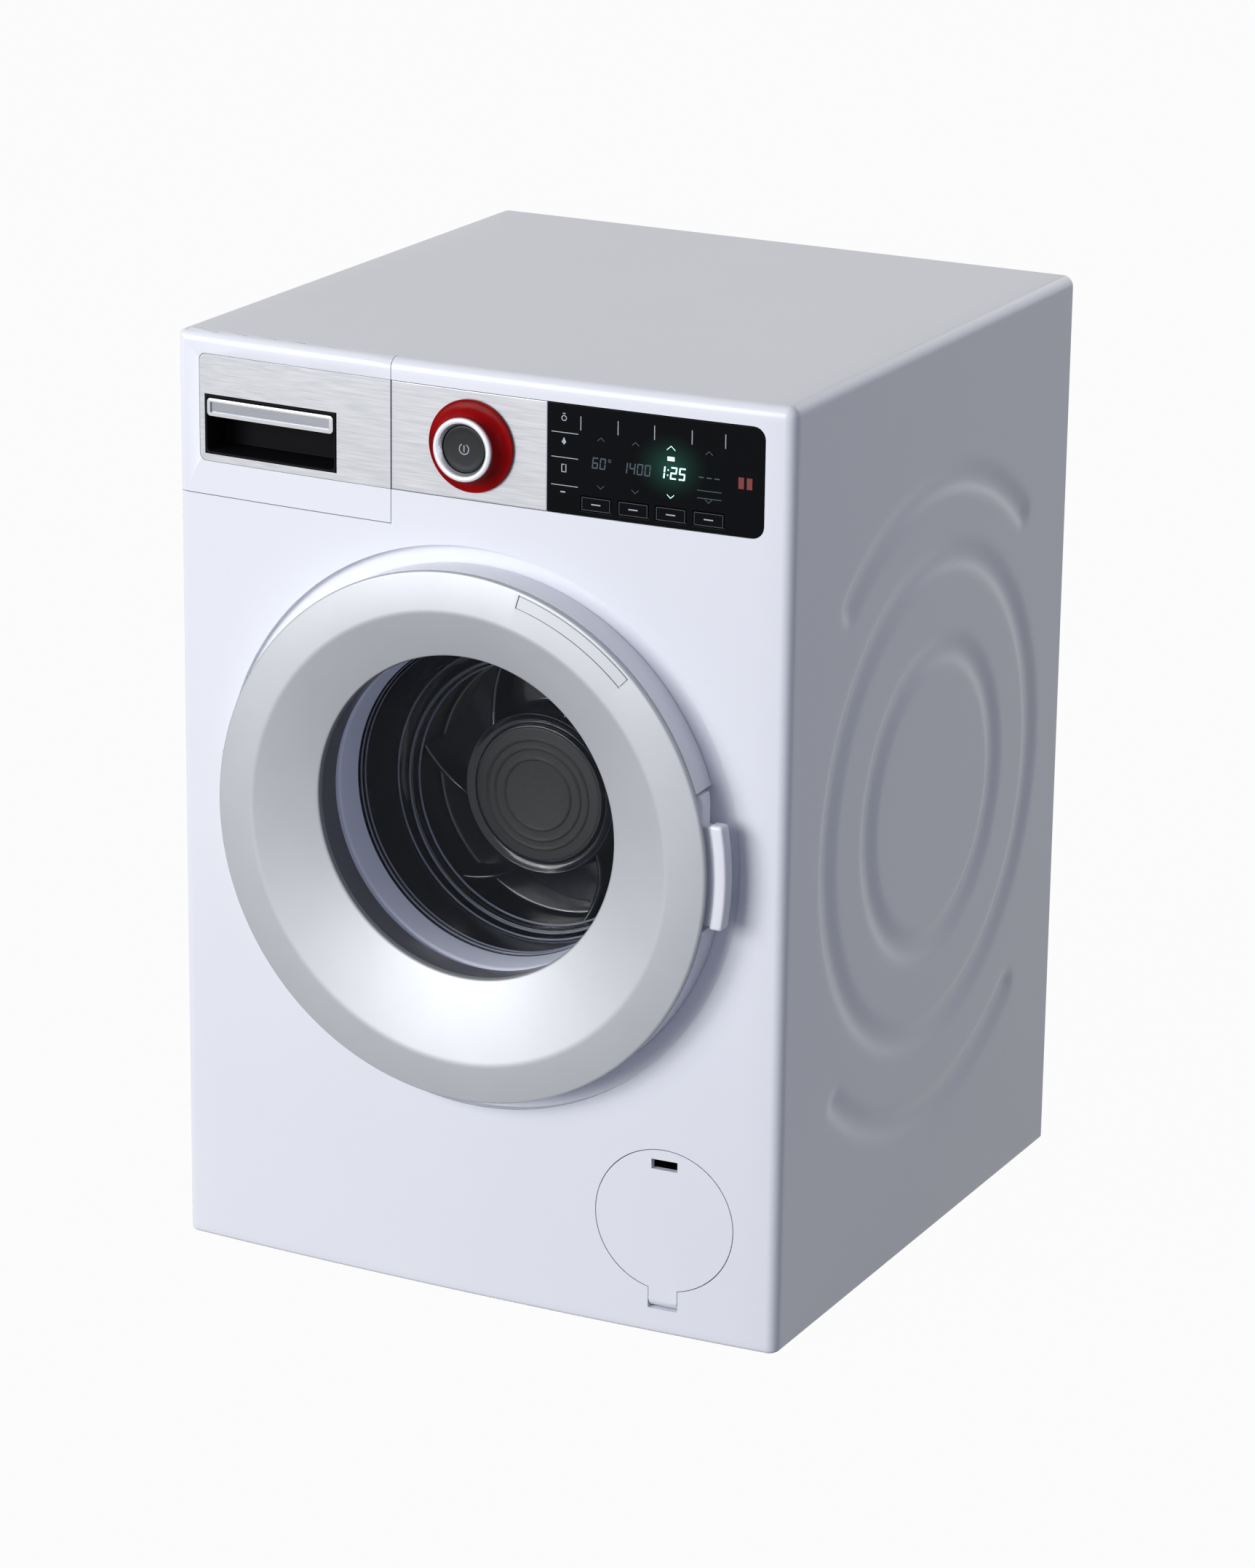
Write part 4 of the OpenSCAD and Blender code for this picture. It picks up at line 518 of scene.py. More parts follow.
def grown(tree, material, bm=None, **sizes):
    """What a rule makes from a mesh and its sizes, in mm, as a plain mesh"""
    piece = standing(bm or bmesh.new(), bpy.context.scene.collection)
    modifier = piece.modifiers.new("rule", "NODES")
    modifier.node_group = tree
    sizes["Finish"] = material
    for socket in tree.interface.items_tree:
        label = socket.name.replace(" ", "_")
        if socket.in_out == "INPUT" and label in sizes:
            modifier[socket.identifier] = sizes[label]
    return taken(piece)


def points(places):
    """Loose points as a mesh"""
    bm = bmesh.new()
    for place in places:
        bm.verts.new(place)
    return bm


def dressed(node, width=0.3, material=None):
    """A merged copy of a solid with softened edges"""
    bm = bmesh.new()
    bm.from_mesh(frame["nodes"][node].data)
    bmesh.ops.scale(bm, vec=(1 / MM,) * 3, verts=bm.verts)
    bmesh.ops.remove_doubles(bm, verts=bm.verts, dist=0.001)
    bmesh.ops.dissolve_limit(bm, angle_limit=math.radians(0.4), verts=bm.verts, edges=bm.edges)
    piece = settle(bm, node + "_finished", node, material or MATERIAL_OF[SLOT_OF[node]])
    if width > 0:
        soften(piece, width * MM, 3, 30)


# The casing
EDGE_R = 3.0
LOW_EDGE_R = 1.5
EDGE_STEPS = 4
SIDE_PITCH = 1.5
FRONT_PITCH = 7.5
WALL = 2.6
SEAM = 0.25
GROOVE_Z = 131.0
GROOVE_Y = FRONT_Y + 93.0
GROOVE_HALF = 5.6
GROOVE_DEPTH = 1.2
GROOVE_RINGS = (41.5, 67.2)
GROOVE_ARCS = ((88.5, 50, 80), (91.0, -128, 78))


def lines(low, high, low_r, high_r, pitch):
    """Grid lines along one direction, closer where the ends are rounded"""
    share = [math.tan(math.pi / 4 * k / EDGE_STEPS) for k in range(EDGE_STEPS + 1)]
    first = [low + low_r * (1 - s) for s in reversed(share)] if low_r else [low]
    last = [high - high_r * (1 - s) for s in share] if high_r else [high]
    count = max(1, round((last[0] - first[-1]) / pitch))
    between = [first[-1] + (last[0] - first[-1]) * k / count for k in range(1, count)]
    return first + between + last


def groove_depth(y, z):
    """Depth of the grooves pressed into a side, at a place on it"""
    across, up_by = GROOVE_Y - y, z - GROOVE_Z
    reach = math.hypot(across, up_by)
    away = [abs(reach - ring) for ring in GROOVE_RINGS]
    for ring, start, turn in GROOVE_ARCS:
        angle = (math.degrees(math.atan2(up_by, across)) - start) % 360
        if angle <= turn:
            away.append(abs(reach - ring))
        else:
            for end in (start, start + turn):
                a = math.radians(end)
                away.append(math.hypot(across - ring * math.cos(a), up_by - ring * math.sin(a)))
    nearest = min(away)
    if nearest >= GROOVE_HALF:
        return 0.0
    return GROOVE_DEPTH * (0.5 + 0.5 * math.cos(math.pi * nearest / GROOVE_HALF))


def outer_block():
    """The casing's outer form as a closed block with rounded edges, grooved sides and a bulging front"""
    low = Vector((-SIDE_X, FRONT_Y, CASING_LOW.z))
    high = Vector((SIDE_X, BACK_Y, CASING_HIGH.z))
    xs = lines(low.x, high.x, EDGE_R, EDGE_R, FRONT_PITCH)
    ys = lines(low.y, high.y, EDGE_R, 0, SIDE_PITCH)
    zs = lines(low.z, high.z, LOW_EDGE_R, EDGE_R, SIDE_PITCH)
    bm = bmesh.new()
    known = {}

    def corner(x, y, z):
        key = (round(x, 4), round(y, 4), round(z, 4))
        if key in known:
            return known[key]
        centre = Vector((min(max(x, low.x + EDGE_R), high.x - EDGE_R), max(y, low.y + EDGE_R),
                         min(max(z, low.z + LOW_EDGE_R), high.z - EDGE_R)))
        radii = Vector((EDGE_R, EDGE_R, LOW_EDGE_R if z < centre.z else EDGE_R))
        offset = Vector((x, y, z)) - centre
        unit = Vector((offset.x / radii.x, offset.y / radii.y, offset.z / radii.z))
        if unit.length > 1e-9:
            unit.normalize()
        point = centre + Vector((unit.x * radii.x, unit.y * radii.y, unit.z * radii.z))
        if abs(unit.x) > 0.999:
            point.x -= math.copysign(groove_depth(point.y, point.z), point.x)
        bulge_end = FRONT_Y + 30
        if point.y < bulge_end:
            point.y -= crown_h(point.x) * min(1.0, (bulge_end - point.y) / 25)
        known[key] = bm.verts.new(point)
        return known[key]

    def sheet(rows, columns, at):
        for r0, r1 in zip(rows, rows[1:]):
            for c0, c1 in zip(columns, columns[1:]):
                corners = dict.fromkeys([corner(*at(r0, c0)), corner(*at(r0, c1)), corner(*at(r1, c1)),
                                         corner(*at(r1, c0))])
                if len(corners) > 2:
                    bm.faces.new(list(corners))

    for x in (low.x, high.x):
        sheet(ys, zs, lambda y, z, x=x: (x, y, z))
    for z in (low.z, high.z):
        sheet(xs, ys, lambda x, y, z=z: (x, y, z))
    sheet(xs, zs, lambda x, z: (x, low.y, z))
    bmesh.ops.holes_fill(bm, edges=[e for e in bm.edges if e.is_boundary], sides=0)
    bmesh.ops.recalc_face_normals(bm, faces=bm.faces)
    return bm


DRAWER_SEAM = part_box("drawer_front")[1].x / MM
DRAWER_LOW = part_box("drawer_front")[0].z / MM
LIP_GAP = 3.85
INNER_WALL = LIP_GAP + WALL
RECESS_R = 77.8
PORTHOLE_R = 47.9
PANEL_GAP = 0.1
PANEL_T = 1.0
PANEL = span("display_window")
PANEL_CORNER_R = 3.4
FLAP_X = middle("service_flap").x
FLAP_R = 20.0
FLAP_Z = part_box("service_flap")[1].z / MM - FLAP_R
TAB_W = 8.3
FLAP_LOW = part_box("service_flap")[0].z / MM
FAR = 400.0


def through(x0, x1, z0, z1, before=0.1):
    """A cutting block through the front's wall, from a little before its corner plane"""
    return block(x0, x1, FRONT_Y - before, FRONT_Y + WALL + 0.1, z0, z1)


def front_disc(x, z, radius, low, high, steps):
    """A cutting disc between two heights over the front's corner plane"""
    return placed(prism(circle_outline(x, z, radius, steps), low, high), front(0, 0))


flat = front(0, 0)
inner_x, inner_low, inner_high = SIDE_X - WALL, CASING_LOW.z + WALL, CASING_HIGH.z - WALL
seam_x, seam_z = DRAWER_SEAM + SEAM, DRAWER_LOW - SEAM
casing_tools = [
    block(-inner_x, inner_x, FRONT_Y + WALL, FAR, inner_low, seam_z - WALL),
    block(seam_x + WALL, inner_x, FRONT_Y + WALL, FAR, seam_z - 2 * WALL, inner_high),
    block(-inner_x, seam_x + 2 * WALL, FRONT_Y + INNER_WALL, FAR, seam_z - 2 * WALL, inner_high),
    placed(bend(prism([(-SIDE_X - 2, seam_z), (seam_x, seam_z), (seam_x, FAR), (-SIDE_X - 2, FAR)],
                      -LIP_GAP, 8), FRONT_PITCH), flat),
    front_disc(DOOR_X, DOOR_Z, RECESS_R, 0, 12, 240),
    front_disc(DOOR_X, WINDOW.z, PORTHOLE_R, -12, 6, 192),
    placed(bend(prism(round_outline(DRAWER_SEAM - 4, PANEL[1].x + PANEL_GAP, PANEL[0].z - PANEL_GAP,
                                    PANEL[1].z + PANEL_GAP, PANEL_CORNER_R), -PANEL_T, 5)), flat),
    front_disc(FLAP_X, FLAP_Z, FLAP_R + SEAM, -12, 12, 144),
    placed(prism([(FLAP_X - TAB_W / 2 - 0.2, FLAP_LOW - 0.4), (FLAP_X + TAB_W / 2 + 0.2, FLAP_LOW - 0.4),
                  (FLAP_X + TAB_W / 2 + 0.2, FLAP_Z - FLAP_R + 3),
                  (FLAP_X - TAB_W / 2 - 0.2, FLAP_Z - FLAP_R + 3)],
                 -12, 12), flat),
]
# Openings behind the drawer, the knob, the lamps, the latch, the hinge and the keys
TRAY, LAMPS = span("drawer_tray"), span("lamps")
TRAY_GAP, LAMP_GAP = 0.4, 1.0
KNOB_HOLE_R = 9.6
HINGE_X, LUG_Z = DOOR_X - 72.3, 10.2
LUG_HALF_X, LUG_HALF_Z = 2.8, 2.4
LATCH_X = middle("handle_pin").x
LATCH_LEFT, LATCH_RIGHT, LATCH_HALF_Z = 3.4, 3.6, 8.0
KEY_HOLE_X, KEY_HOLE_Z = 4.3, 1.95
POCKET = 1.7
casing_tools += [
    block(TRAY[0].x - TRAY_GAP, TRAY[1].x + TRAY_GAP, FRONT_Y - 0.1, FRONT_Y + 3 * WALL,
          TRAY[0].z - TRAY_GAP, TRAY[1].z + TRAY_GAP),
    front_disc(0, middle("knob_bezel").z, KNOB_HOLE_R, -12, 12, 96),
    through(LAMPS[0].x - LAMP_GAP, LAMPS[1].x + LAMP_GAP,
            LAMPS[0].z - LAMP_GAP, LAMPS[1].z + LAMP_GAP, POCKET),
    through(LATCH_X - LATCH_LEFT, LATCH_X + LATCH_RIGHT, DOOR_Z - LATCH_HALF_Z, DOOR_Z + LATCH_HALF_Z),
]
for side in (-1, 1):
    lug = DOOR_Z + side * LUG_Z
    casing_tools.append(through(HINGE_X - LUG_HALF_X, HINGE_X + LUG_HALF_X,
                                lug - LUG_HALF_Z, lug + LUG_HALF_Z, 3))
for key in KEYS:
    spot = middle(key)
    casing_tools.append(through(spot.x - KEY_HOLE_X, spot.x + KEY_HOLE_X,
                                spot.z - KEY_HOLE_Z, spot.z + KEY_HOLE_Z, POCKET))
casing = settle(carve(outer_block(), casing_tools), "casing_shell", "casing", ABS_WHITE)
soften(casing, 0.25 * MM, 2, 50)


# The door
door_place = front(DOOR_X, DOOR_Z)
LABEL_R = 68.8
LABEL_W = 3.0
LABEL_FROM, LABEL_TO = 46.0, 75.0
LABEL_LINE = 0.35


def bevel_h(radius):
    """Height of the silver bevel over the front's corner plane"""
    return CREASE_H + (radius - CREASE_R) * (RIM_H - CREASE_H) / (DOOR_R - CREASE_R)


def label_line():
    """A thin closed outline round the label's place on the bevel, as a cutting tool"""
    def edge(out):
        inner, outer = LABEL_R - out, LABEL_R + LABEL_W + out
        first, last = (math.radians(a) for a in (LABEL_FROM - out * 0.8, LABEL_TO + out * 0.8))
        steps = 40
        run = [(outer, first + (last - first) * k / steps) for k in range(steps + 1)]
        run += [(inner, last + (first - last) * k / steps) for k in range(steps + 1)]
        return [(r * math.cos(a), r * math.sin(a), r) for r, a in run]
    bm = bmesh.new()
    loops = []
    for out, rise in ((0, -LABEL_LINE), (LABEL_LINE, -LABEL_LINE), (LABEL_LINE, 1.5), (0, 1.5)):
        loops.append([bm.verts.new((x, y, bevel_h(r) + rise)) for x, y, r in edge(out)])
    for a, b in zip(loops, loops[1:] + loops[:1]):
        for k in range(len(a)):
            n = (k + 1) % len(a)
            bm.faces.new((a[k], a[n], b[n], b[k]))
    bmesh.ops.recalc_face_normals(bm, faces=bm.faces)
    return bm


ring_path = soft([
    (0, DOOR_R - 0.1, RIM_H - RING_T + 0.05), (0, DOOR_R, RIM_H), (0, CREASE_R, CREASE_H),
    (RISE, WINDOW_R, WINDOW_H), (RISE, WINDOW_R - 0.2, WINDOW_H - RING_T + 0.05),
    (0, CREASE_R, CREASE_H - RING_T),
], [0.3, 0.7, 0.9, 0.6, 0, 0])
settle(carve(loft(ring_path), [label_line()]), "door_silver_ring", "door_ring", PAINT_SILVER, door_place,
       sharp=40)

COLLAR_OUT = WINDOW_R + 0.6 + 1.4
COLLAR_REACH = 4.0
PANE_T = 1.6
collar_path = soft([
    (RISE, COLLAR_OUT, -COLLAR_REACH), (RISE, COLLAR_OUT - 0.2, 2.4), (RISE, COLLAR_OUT + 3.4, 2.4),
    (RISE, COLLAR_OUT + 3.4, 3.8), (RISE, COLLAR_OUT - 0.25, 3.8), (RISE, COLLAR_OUT - 0.4, 6.1),
    (RISE, WINDOW_R + 0.1, 6.1), (RISE, WINDOW_R + 0.5, PANE_T - COLLAR_REACH),
    (RISE, COLLAR_OUT - 0.5, PANE_T - COLLAR_REACH), (RISE, COLLAR_OUT - 0.5, -COLLAR_REACH),
], [0.2, 0, 0, 0.2, 0.2, 0.2, 0.4, 0.2, 0, 0.1])
settle(loft(collar_path), "collar_smoke_wall", "door_collar", PC_SMOKE_PAINTED_GLOW, door_place, sharp=50)
pane_r = COLLAR_OUT - 0.55
pane_path = soft([(RISE, 0, -COLLAR_REACH), (RISE, pane_r, -COLLAR_REACH), (RISE, pane_r, PANE_T - 4.05),
                  (RISE, 0, PANE_T - 4.05)], [0, 0.2, 0.2, 0], closed=False)
settle(loft(pane_path, closed=False), "window_pane", "door_window", PS_CLEAR, door_place, sharp=40)

MOUTH_R = 44.2
PORT_OUT = COLLAR_OUT + 1.4
port_path = soft([
    (RISE, MOUTH_R, -13.2), (RISE, MOUTH_R + 1, -4.8), (RISE, PORT_OUT + 0.4, -4.8),
    (RISE, PORT_OUT + 0.4, -2.7), (RISE, PORT_OUT + 8, -2.7), (RISE, PORT_OUT + 8, -4.8),
    (RISE, PORT_OUT + 2, -4.8), (RISE, PORT_OUT + 2, -13.2),
], [0.4, 1.0, 0.6, 0, 0, 0, 0, 0])
settle(loft(port_path), "porthole_lilac_ring", "porthole_ring", ABS_LILAC_PAINTED_GLOW, door_place, sharp=50)

# The tub and its wheel
THROAT_R = 41.6
THROAT_RISE = 1.2


def bead(name, node, rise, radius, height, thick):
    """A round bead in a pale colour along an edge: a painted highlight"""
    ring = placed(grown(BEAD, RIM_PAINTED_HIGHLIGHT, Radius=radius, Bead=thick), Matrix.Translation((0, rise, height)))
    settle(ring, name, node, RIM_PAINTED_HIGHLIGHT, door_place, replaces=False)


# Pale beads at the tub's mouth and throat: painted highlights
bead("tub_mouth_bead", "tub", RISE, MOUTH_R - 0.1, -14.4, 0.32)
bead("tub_second_bead", "tub", RISE - 0.3, MOUTH_R - 0.4, -16.2, 0.28)
bead("tub_throat_bead", "tub", THROAT_RISE + 0.1, THROAT_R - 0.3, -30.0, 0.3)

WHEEL_R = 39.4
HUB_R = 19.5
HUB_Z = -33.6
PLATE_Z = -47.0
RIM_Z = -31.8
FIN_COUNT = 6
wheel_path = soft([
    (0, 0, HUB_Z - 0.5), (0, HUB_R, HUB_Z), (0, HUB_R + 0.3, HUB_Z - 1.8), (0, HUB_R + 1.4, HUB_Z - 1.7),
    (0, HUB_R + 3.0, HUB_Z - 0.7), (0, HUB_R + 3.2, HUB_Z - 2.4), (0, HUB_R + 2.4, PLATE_Z),
    (0, WHEEL_R - 1.5, PLATE_Z), (0, WHEEL_R - 1.5, RIM_Z), (0, WHEEL_R, RIM_Z),
    (0, WHEEL_R, PLATE_Z - 2), (0, 0, PLATE_Z - 2),
], [0, 0.5, 0.3, 0.8, 0.3, 0.5, 2.2, 1.6, 0.5, 0.4, 0.4, 0], steps=6, closed=False)


def one_fin():
    """A curved fin from the hub to the rim, standing on the wheel's plate"""
    bm = bmesh.new()
    centre, sweep, thick, steps = Vector((14, -19)), 26.0, 0.8, 28
    rows = []
    for k in range(steps + 1):
        a = math.radians(152 - 125 * k / steps)
        foot = centre + Vector((math.cos(a), math.sin(a))) * sweep
        if not HUB_R - 0.6 < foot.length < WHEEL_R - 0.8:
            continue
        side = Vector((math.cos(a), math.sin(a)))
        share = (foot.length - HUB_R) / (WHEEL_R - HUB_R)
        top = RIM_Z - 4.7 - 2.0 * math.sin(math.pi * min(max(share, 0), 1))
        turns = [math.pi * (1 - k / 8) for k in range(9)]
        section = [(thick * math.cos(t), top - 0.8 + 0.8 * math.sin(t)) for t in turns]
        row = []
        for out, high in [(-thick - 0.5, PLATE_Z - 0.1)] + section + [(thick + 0.5, PLATE_Z - 0.1)]:
            spot = foot + side * out
            row.append(bm.verts.new((spot.x, spot.y, high)))
        rows.append(row)
    for a, b in zip(rows, rows[1:]):
        for k in range(len(a)):
            n = (k + 1) % len(a)
            bm.faces.new((a[k], a[n], b[n], b[k]))
    bm.faces.new(rows[0])
    bm.faces.new(list(reversed(rows[-1])))
    bmesh.ops.recalc_face_normals(bm, faces=bm.faces)
    return bm


wheel_parts = [loft(wheel_path, closed=False), grown(ROUND_AXIS, ABS_WHEEL, one_fin(), Count=FIN_COUNT)]
settle(joined(*wheel_parts), "drum_wheel_finned", "drum_wheel", ABS_WHEEL, door_place, sharp=40)
# Pale beads on the wheel's rims: painted highlights
bead("wheel_rim_bead", "drum_wheel", 0, WHEEL_R - 0.75, RIM_Z + 0.1, 0.32)
bead("wheel_inner_bead", "drum_wheel", 0, WHEEL_R - 2.2, RIM_Z - 2.6, 0.3)

# The hub's face, with three fine raised rings
hub_face, hub_cuts = [(0, 0, HUB_Z + 0.1)], [0]
for r in (10.0, 13.0, 15.4):
    hub_face += [(0, r - 0.4, HUB_Z + 0.1), (0, r, HUB_Z + 0.45), (0, r + 0.4, HUB_Z + 0.1)]
    hub_cuts += [0.15, 0.2, 0.15]
hub_face += [(0, HUB_R - 0.9, HUB_Z + 0.1), (0, HUB_R - 0.7, HUB_Z - 0.2)]
hub_path = soft(hub_face, hub_cuts + [0.3, 0], closed=False)
settle(loft(hub_path, closed=False), "hub_face", "drum_wheel", ABS_HUB, door_place, sharp=60,
       replaces=False)

# The programme knob
KNOB_Z = middle("knob_bezel").z
KNOB_BASE = CROWN + 0.3
KNOB_FRONT = CROWN + 6.0
SKIRT_R, BEZEL_R, BUTTON_R, BEZEL_T = 12.4, 8.5, 6.2, 1.6
knob_place = front(0, KNOB_Z)
neck = BEZEL_R - 0.5
sweep_z = KNOB_FRONT - BEZEL_T + 0.6
drop = sweep_z - KNOB_BASE - 0.6
sweep_x = (SKIRT_R ** 2 - neck ** 2 + drop ** 2) / (2 * (SKIRT_R - neck))
sweep_r = sweep_x - neck
start = math.atan2(-drop, SKIRT_R - sweep_x)
stop = -math.pi + math.asin(0.6 / sweep_r)
flare = [(0, sweep_x + sweep_r * math.cos(start + (stop - start) * k / 24),
          sweep_z + sweep_r * math.sin(start + (stop - start) * k / 24)) for k in range(25)]
skirt_foot = [(0, neck - 1.2, KNOB_BASE), (0, SKIRT_R, KNOB_BASE)]
skirt_top = [(0, neck - 1.2, KNOB_FRONT - BEZEL_T)]
skirt_path = soft(skirt_foot + flare + skirt_top, [0, 0.2, 0.25] + [0] * 25)
settle(loft(skirt_path), "knob_red_skirt", "knob_skirt", PS_RED, knob_place, sharp=50)
low = KNOB_FRONT - BEZEL_T + 0.02
bezel_path = soft([(0, BEZEL_R, low), (0, BEZEL_R, KNOB_FRONT), (0, BEZEL_R - 1.35, KNOB_FRONT),
                   (0, BUTTON_R + 0.2, low)],
                  [0.3, 0.8, 0.5, 0.1], steps=6)
settle(loft(bezel_path), "knob_silver_bezel", "knob_bezel", CHROME_SOFT, knob_place, sharp=60)
BUTTON_H = KNOB_FRONT - 1.5
button_path = soft([(0, 0, BUTTON_H - 0.25), (0, 4.6, BUTTON_H - 0.15), (0, BUTTON_R, BUTTON_H),
                    (0, BUTTON_R, BUTTON_H - 2), (0, 1.5, BUTTON_H - 2), (0, 1.5, -7.8), (0, 0, -7.8)],
                   [0, 0.5, 0.4, 0.2, 0, 0.2, 0], closed=False)
settle(loft(button_path, closed=False), "power_button_black", "power_button", ABS_BUTTON, knob_place,
       sharp=50)


def strip_mesh(runs, lift=0.02, bulge=True):
    """Flat print: each run is a closed outline in X and Z, anticlockwise, laid over the bulging front"""
    bm = bmesh.new()
    for outline in runs:
        bm.faces.new([bm.verts.new((x, z, (crown_h(x) if bulge else 0) + lift)) for x, z in outline])
    return bm


def rim_run(x, z, inner, outer, first=0.0, last=360.0, steps=40):
    """Outlines that make a printed ring or a part of one"""
    turns = [math.radians(first + (last - first) * k / steps) for k in range(steps + 1)]
    return [[(x + inner * math.cos(a), z + inner * math.sin(a)),
             (x + outer * math.cos(a), z + outer * math.sin(a)),
             (x + outer * math.cos(b), z + outer * math.sin(b)),
             (x + inner * math.cos(b), z + inner * math.sin(b))]
            for a, b in zip(turns, turns[1:])]


def bar_run(x0, x1, z0, z1):
    """The outline of a printed bar"""
    return [(x0, z0), (x1, z0), (x1, z1), (x0, z1)]


symbol = rim_run(0, 0, 1.25, 1.5, 118, 422) + [bar_run(-0.14, 0.14, -0.75, 1.0)]
settle(strip_mesh(symbol, BUTTON_H - 0.2, bulge=False), "power_symbol", "power_button", INK_PALE_PAINTED_GLOW,
       knob_place, replaces=False)

# The display
SEGMENTS = {"0": "abcdef", "1": "bc", "2": "abged", "4": "fgbc", "5": "afgcd", "6": "afgedc"}
TOP_Z, LOW_Z = PANEL[1].z, PANEL[0].z


def digit(sign, x, z, tall, line):
    """One seven-segment digit, from its lower left corner"""
    wide, half, g = tall * 0.56, tall / 2, line * 0.25
    bars = {"a": (g, wide - g, tall - line, tall), "d": (g, wide - g, 0, line),
            "g": (g, wide - g, half - line / 2, half + line / 2),
            "b": (wide - line, wide, half + g, tall - g),
            "c": (wide - line, wide, g, half - g), "f": (0, line, half + g, tall - g),
            "e": (0, line, g, half - g)}
    lean = 0.1
    return [[(x + px + (pz * lean), z + pz) for px, pz in bar_run(*bars[s])] for s in SEGMENTS[sign]]


def word(signs, x, z, tall, line):
    """Digits and colons in a row, from the lower left corner"""
    runs = []
    for sign in signs:
        if sign == ":":
            runs += [bar_run(x + 0.15, x + 0.5, z + tall * 0.25, z + tall * 0.36),
                     bar_run(x + 0.3, x + 0.65, z + tall * 0.66, z + tall * 0.77)]
            x += tall * 0.28
        else:
            runs += digit(sign, x, z, tall, line)
            x += tall * 0.72
    return runs


def chevron(x, z, wide, up):
    """A small arrow head that points up or down"""
    tip, line = wide * 0.45 * up, 0.22
    return [[(x - wide / 2, z), (x, z + tip), (x, z + tip + line), (x - wide / 2, z + line)],
            [(x, z + tip), (x + wide / 2, z), (x + wide / 2, z + line), (x, z + tip + line)]]


lit_runs = word("1:25", 53.6, TOP_Z - 16.4, 3.3, 0.42)
lit_runs += chevron(57.2, TOP_Z - 8.9, 2.4, 1) + chevron(57.2, TOP_Z - 20.6, 2.0, -1)
lit_runs += [bar_run(56.2, 58.2, TOP_Z - 11.6, TOP_Z - 10.5)]
settle(strip_mesh(lit_runs), "display_lit_digits", "display_window", DIGIT_LIT, flat, replaces=False)
dim_runs = word("60", 34.8, TOP_Z - 16.2, 3.0, 0.34) + word("1400", 43.2, TOP_Z - 16.4, 3.0, 0.34)
dim_runs += rim_run(39.9, TOP_Z - 13.7, 0.25, 0.45, steps=12)
for x in (37.4, 47.2, 67.8):
    dim_runs += chevron(x, TOP_Z - 8.9, 2.0, 1) + chevron(x, TOP_Z - 20.6, 2.0, -1)
dim_runs += [bar_run(65.0 + 2.2 * k, 66.4 + 2.2 * k, TOP_Z - 15.0, TOP_Z - 14.7) for k in range(3)]
dim_runs += [bar_run(64.6, 71.4, TOP_Z - 18.4, TOP_Z - 18.2),
             bar_run(64.6, 71.4, TOP_Z - 20.4, TOP_Z - 20.2)]
settle(strip_mesh(dim_runs), "display_dim_digits", "display_window", DIGIT_DIM, flat, replaces=False)
pale_runs = [bar_run(x - 0.11, x + 0.11, TOP_Z - 6.6, TOP_Z - 2.9) for x in (31.6, 42.2, 52.5, 63.0, 72.3)]
pale_runs += [bar_run(23.2, 30.9, TOP_Z - d - 0.1, TOP_Z - d + 0.1) for d in (7.7, 14.3, 21.7)]
pale_runs += rim_run(26.8, TOP_Z - 3.9, 0.55, 0.78, steps=16)
pale_runs += [bar_run(26.4, 27.2, TOP_Z - 2.8, TOP_Z - 2.55)]
pale_runs += [[(26.8, TOP_Z - 8.9), (26.15, TOP_Z - 10.2), (26.8, TOP_Z - 10.9), (27.45, TOP_Z - 10.2)]]
pale_runs += [bar_run(26.1, 26.35, TOP_Z - 18.2, TOP_Z - 16.0),
              bar_run(27.3, 27.55, TOP_Z - 18.2, TOP_Z - 16.0),
              bar_run(26.1, 27.55, TOP_Z - 18.2, TOP_Z - 17.95),
              bar_run(26.1, 27.0, TOP_Z - 16.25, TOP_Z - 16.0)]
pale_runs += [bar_run(25.9, 27.3, TOP_Z - 23.6, TOP_Z - 23.25)]
settle(strip_mesh(pale_runs), "display_pale_print", "display_window", INK_PALE_PAINTED_GLOW, flat, replaces=False)
red_runs = [bar_run(76.0, 77.5, TOP_Z - 16.6, TOP_Z - 13.6),
            bar_run(78.3, 79.8, TOP_Z - 16.6, TOP_Z - 13.6)]
settle(strip_mesh(red_runs), "display_start_mark", "display_window", MARK_RED, flat, replaces=False)

GLOW_X, GLOW_Z, GLOW_WIDE, GLOW_TALL = 57.2, TOP_Z - 13.2, 11.0, 9.4


def glow_finish():
    """Mint light behind the display, brightest in the middle and fading out"""
    made, tree = blank("display_mint_glow")
    place = add(tree, "ShaderNodeTexCoord")
    centred = add(tree, "ShaderNodeMapping", {
        "vector_type": "POINT",
        "Location": (-GLOW_X / GLOW_WIDE, 0, -GLOW_Z / GLOW_TALL),
        "Scale": (1 / (GLOW_WIDE * MM), 0, 1 / (GLOW_TALL * MM)),
    }, {"Vector": place.outputs["Object"]})
    fade = add(tree, "ShaderNodeTexGradient", {"gradient_type": "SPHERICAL"},
               {"Vector": centred.outputs[0]})
    soft_fade = add(tree, "ShaderNodeMath", {"operation": "POWER", 1: 1.7}, {0: fade.outputs[1]})
    light = add(tree, "ShaderNodeMath", {"operation": "MULTIPLY", 1: 0.11}, {0: soft_fade.outputs[0]})
    shader = add(tree, "ShaderNodeBsdfPrincipled",
                 {"Base Color": srgb("060709"), "Roughness": 0.3, "IOR": 1.12,
                  "Emission Color": srgb("5FC8AE")},
                 {"Emission Strength": light.outputs[0]})
    add(tree, "ShaderNodeOutputMaterial", {}, {"Surface": shader.outputs[0]})
    return made


